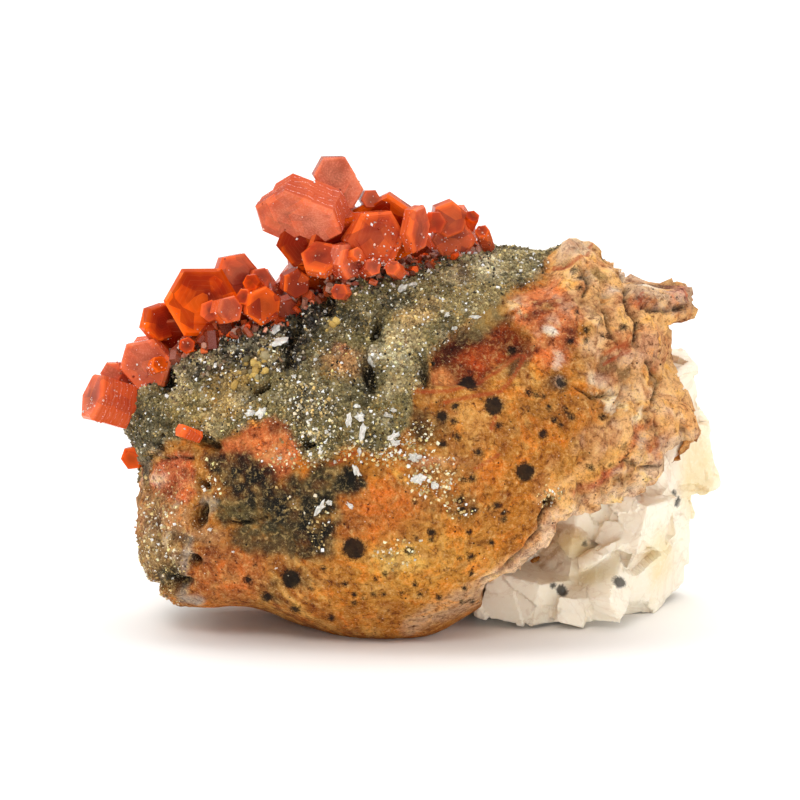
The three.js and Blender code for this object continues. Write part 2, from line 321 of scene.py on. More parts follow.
def turned(angles: Sequence[float]) -> np.ndarray:
    """Turning matrix: roll about Y and pitch about X first, then yaw about Z.

    Args:
        angles: yaw, pitch and roll in degrees.

    Returns:
        3 x 3 matrix that turns column vectors.
    """
    yaw, pitch, roll = np.radians(angles)
    about_z = np.array([[math.cos(yaw), -math.sin(yaw), 0], [math.sin(yaw), math.cos(yaw), 0], [0, 0, 1]])
    about_x = np.array(
        [[1, 0, 0], [0, math.cos(pitch), -math.sin(pitch)], [0, math.sin(pitch), math.cos(pitch)]]
    )
    about_y = np.array([[math.cos(roll), 0, math.sin(roll)], [0, 1, 0],
                        [-math.sin(roll), 0, math.cos(roll)]])
    return about_z @ about_x @ about_y


def read(items: Any, label: str, width: int, kind: type = float) -> np.ndarray:
    """One property of all the vertices, corners or faces of a mesh.

    Args:
        items: the mesh's vertices, loops, polygons or triangles.
        label: name of the property.
        width: how many values each one has.
        kind: type of the values.

    Returns:
        N x width array.
    """
    values = np.empty(len(items) * width, kind)
    items.foreach_get(label, values)
    return values.reshape(-1, width)


def welded(piece: bpy.types.Object, gap: float = 1e-8) -> bpy.types.Object:
    """Merges the corners that meet, and turns the faces outwards.

    Args:
        piece: the piece whose mesh is changed.
        gap: how far apart merged corners may be, metres.

    Returns:
        The same piece.
    """
    mesh = bmesh.new()
    mesh.from_mesh(piece.data)
    bmesh.ops.remove_doubles(mesh, verts=mesh.verts, dist=gap)
    bmesh.ops.recalc_face_normals(mesh, faces=mesh.faces)
    mesh.to_mesh(piece.data)
    mesh.free()
    return piece


def joined(name: str, parts: Sequence[bpy.types.Object]) -> bpy.types.Object:
    """Grows closed solids together into one by boolean union, and drops the separate ones.

    Args:
        name: name of the new piece.
        parts: the closed solids.

    Returns:
        The new object.
    """
    first = parts[0]
    for part in parts[1:]:
        union = first.modifiers.new(part.name, "BOOLEAN")
        union.operation = "UNION"
        union.solver = "MANIFOLD"
        union.object = part
    depsgraph = bpy.context.evaluated_depsgraph_get()
    mesh = bpy.data.meshes.new_from_object(first.evaluated_get(depsgraph))
    mesh.name = name
    for part in parts:
        bpy.data.objects.remove(part)
    return placed(name, mesh)


def fitted(piece: bpy.types.Object, finish: bpy.types.Material, nodes: Sequence[str]) -> None:
    """Gives a piece its finish, slot and body, and says which CAD nodes it stands for.

    Args:
        piece: the new piece.
        finish: its material.
        nodes: names of the CAD nodes that it replaces; may be empty.
    """
    piece.data.materials.clear()
    piece.data.materials.append(finish)
    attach(piece, ROOT)
    if nodes:
        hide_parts(*nodes)
    LOG.info("%s: %d faces, finish %s", piece.name, len(piece.data.polygons), finish.name)


# ------------------------------------------------------------------------------------- shader maths
Value = Union["Sock", float]


class Sock:
    """A node's output that can be used in arithmetic: each operator adds one Math node."""

    def __init__(self, shader: "Shader", output: bpy.types.NodeSocket) -> None:
        """Keeps the shader that the socket belongs to, and the socket itself."""
        self.shader = shader
        self.output = output

    def _math(self, operation: str, *values: Value, clamp: bool = False) -> "Sock":
        """One Math node: its operation, its inputs in order, and whether the result is held from 0 to 1."""
        settings = {"operation": operation, "use_clamp": clamp}
        return self.shader.node("Math", settings, dict(enumerate(values)))

    def __add__(self, other: Value) -> "Sock":
        """Sum."""
        return self._math("ADD", self, other)

    __radd__ = __add__

    def __sub__(self, other: Value) -> "Sock":
        """Difference."""
        return self._math("SUBTRACT", self, other)

    def __rsub__(self, other: Value) -> "Sock":
        """Difference from a number."""
        return self._math("SUBTRACT", other, self)

    def __mul__(self, other: Value) -> "Sock":
        """Product."""
        return self._math("MULTIPLY", self, other)

    __rmul__ = __mul__

    def __truediv__(self, other: Value) -> "Sock":
        """Quotient."""
        return self._math("DIVIDE", self, other)

    def __abs__(self) -> "Sock":
        """Size without its sign."""
        return self._math("ABSOLUTE", self)

    def over(self, low: float, high: float) -> "Sock":
        """0 at `low` and 1 at `high`, held at both ends; `low` may be the larger."""
        return self._math("MULTIPLY", self - low, 1.0 / (high - low), clamp=True)

    def larger(self, other: Value) -> "Sock":
        """The larger of two values."""
        return self._math("MAXIMUM", self, other)

    def wave(self) -> "Sock":
        """Sine of the value."""
        return self._math("SINE", self)


class Shader:
    """A material under construction: adds nodes and joins their sockets."""

    def __init__(self, name: str, world: bpy.types.World | None = None) -> None:
        """Starts an empty material with that name, or empties the world that is given instead."""
        self.material = world or bpy.data.materials.new(name)
        self.material.use_nodes = True
        self.tree = self.material.node_tree
        self.tree.nodes.clear()
        self.place = self.node("TexCoord").shader_output("Object")

    def node(self, kind: str, settings: dict[str, Any] = {}, inputs: dict[Any, Any] = {}) -> "Node":
        """Adds a node, sets its settings, then fills its sockets.

        Args:
            kind: node type without its ShaderNode prefix.
            settings: attribute values.
            inputs: socket name or number to a number, colour, vector or another node's output.

        Returns:
            The node, which stands for its first live output in arithmetic.
        """
        added = self.tree.nodes.new("ShaderNode" + kind)
        for key, setting in settings.items():
            setattr(added, key, setting)
        for key, value in inputs.items():
            socket = added.inputs[key]
            if isinstance(value, Sock):
                self.tree.links.new(value.output, socket)
            else:
                socket.default_value = value
        return Node(self, added)

    def number(self, name: str) -> Sock:
        """A number stored on the mesh under that name."""
        return self.node("Attribute", {"attribute_name": name}).shader_output("Fac")

    def colour(self, name: str) -> Sock:
        """A colour stored on the mesh under that name."""
        return self.node("Attribute", {"attribute_name": name}).shader_output("Color")

    def grain(self, per_mm: float, detail: float = 2.0, roughness: float = 0.6, warp: float = 0.0) -> Sock:
        """Noise from 0 to 1 on Object coordinates.

        Args:
            per_mm: how many bumps fit in a millimetre.
            detail: finer layers.
            roughness: strength of the finer layers.
            warp: how far the pattern is bent by itself.

        Returns:
            The noise's value.
        """
        settings = {"noise_dimensions": "3D"}
        inputs = {
            "Vector": self.place, "Scale": per_mm / METRES, "Detail": detail,
            "Roughness": roughness, "Distortion": warp,
        }
        return self.node("TexNoise", settings, inputs).shader_output("Factor", "Fac")

    def specks(self, per_mm: float) -> tuple[Sock, Sock]:
        """Distance to scattered points, and an even random number for each point.

        Args:
            per_mm: points along a millimetre.

        Returns:
            Distance in point spacings, and the point's own number.
        """
        node = self.node("TexVoronoi", {"feature": "F1"}, {"Vector": self.place, "Scale": per_mm / METRES})
        parts = self.node("SeparateColor", {}, {"Color": node.shader_output("Color")})
        return node.shader_output("Distance"), parts.shader_output("Red")

    def blend(self, factor: Value, first: Any, second: Any, kind: str = "MIX") -> Sock:
        """Mixes two colours or links by that kind of mix: factor 0 gives the first, 1 the second."""
        mix = self.node("Mix", {"data_type": "RGBA", "blend_type": kind}, {0: factor, 6: first, 7: second})
        return Sock(self, mix.node.outputs[2])

    def bump(self, height: Sock, depth_mm: float, strength: float = 1.0) -> Sock:
        """Normal of a relief whose height runs from 0 to 1 over `depth_mm`."""
        inputs = {"Height": height, "Distance": depth_mm * METRES, "Strength": strength}
        return self.node("Bump", {}, inputs).shader_output("Normal")

    def finish(self, inputs: dict[str, Any]) -> bpy.types.Material:
        """Ends the material in one principled surface.

        Args:
            inputs: socket name to value or link.

        Returns:
            The finished material.
        """
        surface = self.node("BsdfPrincipled", {}, inputs)
        self.node("OutputMaterial", {}, {"Surface": surface.shader_output("BSDF")})
        return self.material


class Node(Sock):
    """A node that was just added."""

    def __init__(self, shader: Shader, node: bpy.types.Node) -> None:
        """Keeps the node, and takes its first enabled output as its value."""
        self.node = node
        outputs = [socket for socket in node.outputs if socket.enabled]
        super().__init__(shader, outputs[0] if outputs else None)

    def shader_output(self, *names: str) -> Sock:
        """The output with the first of these names that the node has."""
        found = next(name for name in names if name in self.node.outputs)
        return Sock(self.shader, self.node.outputs[found])


# ----------------------------------------------------------------------------------------- finishes
@dataclass(frozen=True)
class RockFinish:
    """Iron-stained rock: a painted ground, mottled finer and finer, with black spots and pale crumbs."""

    name: str = "iron_stained_rock"
    soot: str = "0d0c09"
    vein: str = "a03c1c"
    crumb: str = "f3e3c4"

    def build(self) -> bpy.types.Material:
        """Ground colour with four sizes of mottling, then veins, spots, specks and crumbs on top.

        Returns:
            The material.
        """
        s = Shader(self.name)
        coarse = s.grain(0.5, 5.0, 0.66, 0.9)
        middle = s.grain(2.3, 4.0, 0.72, 0.5)
        fine = s.grain(6.0, 3.0, 0.75)
        dust = s.grain(13.0, 2.0, 0.75)
        rough = s.number("rough")
        # The stored ground colour holds painted shade in pits, cracks and crevices.
        ground = s.blend(coarse.over(0.5, 0.7) * 0.65, s.colour("ground"), linear("f4c468"), "OVERLAY")
        ground = s.blend(coarse.over(0.5, 0.26) * 0.8, ground, linear("a8601e"), "MULTIPLY")
        ground = s.blend(middle.over(0.5, 0.3) * 0.95, ground, linear("744418"), "MULTIPLY")
        ground = s.blend(middle.over(0.54, 0.74) * (0.5 + 0.3 * rough), ground, linear("eec77e"))
        ground = s.blend(fine.over(0.47, 0.28) * (0.45 + 0.5 * rough), ground, linear("5c3816"), "MULTIPLY")
        ground = s.blend(fine.over(0.57, 0.74) * (0.28 + 0.4 * rough), ground, linear("f6dcac"))
        ground = s.blend(dust.over(0.42, 0.26) * (0.5 + 0.4 * rough), ground, linear("442a10"), "MULTIPLY")
        ground = s.blend(dust.over(0.64, 0.78) * (0.2 + 0.25 * rough), ground, linear("ffe9c8"))
        wander = (fine - 0.5) * 0.36
        vein = (s.number("vein") + wander).over(0.24, 0.06)
        ground = s.blend(vein * (0.45 + 0.5 * fine), ground, linear(self.vein))
        spot = s.number("spot") + wander * 1.3 + (middle - 0.5) * 0.5 + (dust - 0.5) * 0.22
        spot = spot.over(0.2, -0.08)
        ground = s.blend(spot * 0.94, ground, linear(self.soot))
        distance, chance = s.specks(2.1)
        dark = (distance + (fine - 0.5) * 0.3).over(0.2, 0.12)
        dark = dark * (chance - 1.0 + s.number("specks")).over(0.0, 0.02)
        ground = s.blend(dark * 0.9, ground, linear(self.soot))
        distance, chance = s.specks(5.2)
        pale = distance.over(0.36, 0.24) * (chance - 1.0 + s.number("crumbs")).over(0.0, 0.02)
        ground = s.blend(pale * 0.9, ground, linear(self.crumb))
        relief = middle * 0.5 + fine * 0.5 + dust * 0.3 + pale * 0.35 - dark * 0.2
        return s.finish({
            "Base Color": ground,
            "Roughness": 0.86 - 0.2 * fine - 0.2 * pale,
            "Normal": s.bump(relief, 0.14, 0.85),
            "Specular IOR Level": 0.14,
        })


@dataclass(frozen=True)
class GrainFinish:
    """Small crystals with a colour each, drawn from the mesh, glossy enough to sparkle."""

    name: str
    roughness: float = 0.22
    glow: float = 0.0

    def build(self) -> bpy.types.Material:
        """Each grain's own colour, clouded a little.

        Returns:
            The material.
        """
        s = Shader(self.name)
        cloud = s.grain(9.0, 2.0)
        colour = s.blend(cloud.over(0.62, 0.3) * 0.25, s.colour("tone"), linear("8a7850"), "MULTIPLY")
        inputs = {
            "Base Color": colour,
            "Roughness": self.roughness + 0.3 * cloud,
            "Normal": s.bump(cloud, 0.03, 0.4),
            "Specular IOR Level": 0.3,
        }
        if self.glow:
            inputs |= {"Subsurface Weight": self.glow, "Subsurface Scale": 0.25 * METRES}
            inputs |= {"Subsurface Radius": (1.0, 0.7, 0.5)}
        return s.finish(inputs)


@dataclass(frozen=True)
class VanadiniteFinish:
    """Adamantine orange-red crystal: clear rim, partly a painted edge highlight, cloudy red core, growth
    lines, light let a little way in.

    The mesh stores each face corner's place on its own crystal, in radii across and mm along, so that
    the growth hexagons follow each crystal.
    """

    name: str = "vanadinite_crystal"
    core: str = "6e1003"
    body: str = "da3d02"
    # rim colour, lighter towards the hexagon's edges: partly the crystal's zoning, partly a painted highlight
    # along its edges
    rim: str = "f6660a"
    flaw: str = "7e1202"
    # colour of the rough frosting and of the pale painted sheen over the faces
    frost_and_sheen: str = "dd8669"
    glint: str = "fff0e8"
    # painted shade: colour that darkens the side faces, where the overhead light falls most
    side: str = "a02405"
    index: float = 1.75
    tint: tuple[float, float, float, float] = (1.0, 0.4, 0.2, 1.0)

    def build(self) -> bpy.types.Material:
        """Hexagonal distance from the axis blends core, body and rim, the rim partly a painted highlight
        along the edges; noise clouds and frosts them, and lays a pale film of painted sheen over the faces.

        The sides are darkened with painted shade and carry growth bands, some of which glint.

        Returns:
            The material.
        """
        s = Shader(self.name)
        across = s.node("Attribute", {"attribute_name": "across"}).shader_output("Vector")
        parts = s.node("SeparateXYZ", {}, {"Vector": across})
        x, y, end = (parts.shader_output(name) for name in "XYZ")
        hexagon = abs(y).larger(abs(x * SINE + y * COSINE)).larger(abs(x * SINE - y * COSINE)) / SINE
        cloud = s.grain(0.5, 3.0, 0.5, 0.3)
        fine = s.grain(7.0, 3.0, 0.7)
        tone = s.colour("tone")
        shade = s.node("SeparateColor", {}, {"Color": tone})
        deep, bright, frost_and_sheen_share = (shade.shader_output(name) for name in ("Red", "Green", "Blue"))
        shallow = (hexagon + (cloud - 0.5) * 1.1).over(0.2, 0.95) * (1.0 - deep)
        colour = s.blend(shallow, linear(self.core), linear(self.body))
        # Painted highlight: the rim colour grows towards the hexagon's edges, partly zoning and partly light
        # along the edges.
        edge = (hexagon + (cloud - 0.5) * 0.35).over(0.74, 1.0) * bright
        colour = s.blend(edge, colour, linear(self.rim))
        colour = s.blend((cloud.over(0.5, 0.7) * bright) * 0.4, colour, linear(self.rim))
        distance, chance = s.specks(0.75)
        colour = s.blend(chance.over(0.6, 0.66) * (0.4 + 0.45 * deep), colour, linear(self.flaw))
        colour = s.blend(chance.over(0.3, 0.24) * bright * 0.35, colour, linear(self.rim))
        lines = ((hexagon * 46.0 + cloud * 9.0).wave()).over(0.86, 1.0)
        colour = s.blend(lines * 0.05, colour, linear("f6a070"))
        side = end.over(-0.2, -0.45)
        # Painted shade: the side faces are darkened, where the overhead light falls most.
        colour = s.blend(side * (0.15 + 0.75 * frost_and_sheen_share), colour, linear(self.side))
        crust = (fine * 0.6 + cloud * 0.4 + frost_and_sheen_share * 0.4).over(0.74, 0.9) * (1.0 - 0.8 * side)
        colour = s.blend(crust * frost_and_sheen_share, colour, linear(self.frost_and_sheen))
        bands = (end * 22.0 + cloud * 6.0).wave() * 0.5 + 0.5
        # Painted sheen: a pale film over the faces, with faint bands of it on the sides.
        painted_sheen = (0.16 + 0.85 * cloud) * frost_and_sheen_share * (1.0 - 0.75 * side) + side * (0.03 + 0.1 * bands)
        colour = s.blend(painted_sheen, colour, linear(self.frost_and_sheen))
        glare = side * ((end * 11.0 + cloud * 17.0).wave()).over(0.93, 1.0) * fine.over(0.5, 0.58)
        colour = s.blend(glare * (0.05 + 0.7 * frost_and_sheen_share), colour, linear(self.glint))
        relief = side * bands * 0.5 + (1.0 - side) * lines * 0.15 + fine * 0.25 + crust * frost_and_sheen_share * 0.6
        return s.finish({
            "Base Color": colour,
            "Roughness": 0.05 + 0.14 * fine + 0.3 * crust * frost_and_sheen_share,
            "Normal": s.bump(relief, 0.035, 0.45),
            "IOR": self.index,
            "Specular IOR Level": 0.12,
            "Specular Tint": self.tint,
            "Subsurface Weight": 0.2,
            "Subsurface Scale": 0.8 * METRES,
            "Subsurface Radius": (1.0, 0.2, 0.03),
        })


@dataclass(frozen=True)
class BariteFinish:
    """Cream-white barite: milky, tan in the seams and with painted shade, yellow towards the thin edges."""

    name: str = "cream_barite"
    milk: str = "f6ebd7"
    # colour of the seams and of the painted shade
    seam_and_shade: str = "b98d5c"
    yellow: str = "e6cf93"
    soot: str = "1c1a15"

    def build(self) -> bpy.types.Material:
        """Milk, tanned where noise ridges or the stored seams and painted shade are strong, yellowed by a
        stored number.

        Returns:
            The material.
        """
        s = Shader(self.name)
        broad = s.grain(0.32, 4.0, 0.6, 0.8)
        fine = s.grain(3.4, 4.0, 0.65)
        seam_and_shade = (abs(broad - 0.5).over(0.04, 0.0) * 0.3 + s.number("seam_and_shade")).over(0.1, 1.0)
        colour = s.blend(seam_and_shade * (0.5 + fine.over(0.3, 0.6) * 0.4), linear(self.milk), linear(self.seam_and_shade))
        colour = s.blend(s.number("yellow") * (0.35 + 0.6 * broad), colour, linear(self.yellow))
        colour = s.blend(fine.over(0.5, 0.7) * 0.3, colour, linear("fffaf0"))
        spot = (s.number("spot") + (fine - 0.5) * 0.5).over(0.14, -0.08)
        colour = s.blend(spot * 0.9, colour, linear(self.soot))
        return s.finish({
            "Base Color": colour,
            "Roughness": 0.38 + 0.3 * fine,
            "Normal": s.bump(fine, 0.06, 0.35),
            "Subsurface Weight": 0.3,
            "Subsurface Scale": 0.7 * METRES,
            "Subsurface Radius": (1.0, 0.8, 0.6),
        })


@dataclass(frozen=True)
class FloorFinish:
    """Pale studio floor with a faint tooth."""

    name: str = "pale_floor"
    pale: str = "f6f4f1"

    def build(self) -> bpy.types.Material:
        """Off-white with the lightest mottling.

        Returns:
            The material.
        """
        s = Shader(self.name)
        colour = s.blend(s.grain(0.05, 2.0) * 0.04, linear(self.pale), linear("ffffff"))
        return s.finish({"Base Color": colour, "Roughness": 0.7, "Specular IOR Level": 0.2})


# -------------------------------------------------------------------------- markings on the face plane
@dataclass(frozen=True)
class Mark:
    """A painted area of the rock's face: an oval, a closed outline, or a streak along a path.

    Attributes:
        colour: hex digits of its colour; none where the mark only says how dense a coat is.
        at: middle of an oval.
        reach: half widths of an oval, mm.
        turn: how far an oval is turned anticlockwise, degrees.
        outline: corners of an area.
        path: points of a streak.
        width: half width of a streak, mm.
        edge: half width of the blurred margin, mm.
        ragged: how far noise moves the margin, mm.
        strength: 1 covers fully.
    """

    colour: str = ""
    at: tuple[float, float] = (0.0, 0.0)
    reach: tuple[float, float] = (1.0, 1.0)
    turn: float = 0.0
    outline: tuple[tuple[float, float], ...] = ()
    path: tuple[tuple[float, float], ...] = ()
    width: float = 0.2
    edge: float = 0.35
    ragged: float = 0.3
    strength: float = 1.0

    def distance(self, places: np.ndarray) -> np.ndarray:
        """Distance to the mark's margin, negative inside; for an oval, its scaled radius less one.

        Args:
            places: N x 2 places on the face plane.

        Returns:
            N distances in mm.
        """
        if self.outline:
            return outline_distance(places, self.outline)
        if self.path:
            return path_distance(places, self.path) - self.width
        angle = math.radians(self.turn)
        across = places - self.at
        along = across[:, 0] * math.cos(angle) + across[:, 1] * math.sin(angle)
        aside = across[:, 1] * math.cos(angle) - across[:, 0] * math.sin(angle)
        return (np.hypot(along / self.reach[0], aside / self.reach[1]) - 1.0) * min(self.reach)

    def cover(self, places: np.ndarray, wander: np.ndarray) -> np.ndarray:
        """How strongly it covers each place, from 0 to its strength; `wander` makes its margin ragged."""
        return self.strength * smoothstep(self.edge, -self.edge,
                                          self.distance(places) + self.ragged * wander)


CRUST = Mark("81744a", edge=.25, ragged=.4, outline=(
    (11.7, 31), (11.7, 28.2), (10.5, 26.8), (8.4, 26), (7.4, 25.2), (6.2, 24.3), (4.6, 23.3), (3.6, 22.3),
    (2.7, 21.9), (2.5, 20.4), (2.3, 19), (1.2, 18.1), (1, 16.6), (.6, 15), (-.2, 14), (-1.8, 13.6),
    (-3.2, 14.1), (-5.2, 13.2), (-6.6, 12.8), (-8.2, 14.2), (-8.6, 15.9), (-11.2, 15.8), (-12.4, 15),
    (-14.6, 14.3), (-16.3, 14.9), (-18.3, 14), (-19.6, 12.6), (-26, 13), (-28, 24), (-15, 40), (6, 42),
))
RUSTY_HOLLOW = Mark("76300f", edge=.35, ragged=.3, outline=(
    (2.7, 22), (4.4, 23.3), (6.4, 24.3), (7.8, 25.3), (8.5, 25), (8.8, 24), (9.6, 23.2), (10.2, 22.6),
    (9.8, 21.6), (8.9, 21), (7.7, 20.3), (6.4, 18.9), (5, 19), (2.6, 18.8), (2.5, 20.6),
))
# Painted shade in the hollow between the rind and the barite: dark brown on the rock, tan on the barite.
HOLLOW_SHADE = Mark("6a4a2c", edge=.25, ragged=.15, outline=(
    (10.9, 4.7), (12, 6.2), (12.6, 7.9), (13.8, 7.6), (14.8, 6.9), (13.6, 6.1), (12.4, 5.2), (11.4, 4.3),
))
UNDERCUT = Mark(edge=.2, ragged=.2, outline=(  # where the rock is broken away and the barite shows
    (30, 14.4), (22.7, 14.2), (20.9, 13.2), (20.3, 11.2), (18.6, 10.1), (16.2, 9.3), (14.9, 8.7),
    (13.8, 8.4), (12.6, 8), (11.9, 6.4), (10.6, 5), (9.6, 4), (8.2, 3.7), (7, 3), (6.6, 1.8), (8, -3),
    (30, -3),
))
KNOB = Mark("", (-18, 7.5), (3, 6.5), edge=1)  # the swelling at the left end
SLOPE = Mark("", (11.6, 24), (2.4, 3.4), 20, edge=.8, ragged=.7)  # below the crust's right end
PITS = (  # openings that go deep into the crust: place, half widths, turn
    ((-18, 19.1), (.75, .95), 0), ((-8.5, 20.9), (.5, .9), -10), ((-7.9, 22.9), (.55, 1.3), -15),
    ((-1.6, 23.1), (.4, .95), -20), ((-2.2, 19.6), (.48, 1.1), 12), ((2, 19.6), (.5, .95), 5),
    ((-10.3, 18.6), (.75, .3), 35), ((-15, 14.6), (1.15, .5), -25), ((-15.3, 8.5), (.4, 1), -15),
    ((-17, 3.2), (.7, .4), 0), ((-15.9, 4.9), (.5, .5), 0), ((-15.1, 11), (.4, .3), -20),
    ((-6.8, 14.1), (.6, .35), 0), ((-19, 3.1), (.35, .5), 0), ((-5.5, 25.4), (.8, 1.2), 20),
    ((11.8, 9.5), (.42, .4), 0),
)
CRACKS = (
    ((11.4, 9.2), (11, 8.2), (11, 7.4), (10.1, 6.5), (9.8, 5.9), (8.7, 4.9), (7.9, 4), (6.6, 3.4)),
    ((-17.4, 15.8), (-18.2, 14.6), (-18.4, 13.8), (-19.5, 12.8)), ((-18.2, 13), (-17.2, 13.1), (-16, 13.1)),
    ((-13.2, 8), (-11.6, 8), (-10.2, 8.4)), ((17.8, 26.4), (18, 25), (18.7, 23.8), (18.5, 22.6)),
    ((16.1, 24.8), (16.6, 22.8), (17.3, 21)), ((19.2, 20.8), (20.3, 19), (19.5, 17.5), (20.1, 15.9)),
    ((13.8, 18.7), (15, 17.9), (16.5, 18.1)), ((14.2, 28.4), (14.8, 26.9), (14.4, 25.6)),
    ((17.4, 13), (18.8, 12.3), (20, 12.6)), ((18.9, 25), (20.6, 24.8), (22.4, 25.2)),
)
VEINS = (
    ((1.2, 18.3), (3.9, 18.4), (5.9, 18.9), (7.9, 20.1), (9.4, 21.4)),
    ((3.6, 17.5), (5.9, 18), (7.9, 18.3), (8.9, 19.4), (9.9, 21.2)), ((7.6, 16.6), (7.2, 15.3)),
    ((-5.2, 12.6), (-4.2, 13), (-3.3, 13.6)), ((16.1, 20.6), (17.9, 21.6)), ((16, 21.4), (17.9, 22.2)),
    ((12.2, 28.2), (13.6, 28.6), (15, 29.4)), ((18.8, 24.9), (19.2, 26.2)), ((5.9, 12.2), (7.8, 13.4)),
)
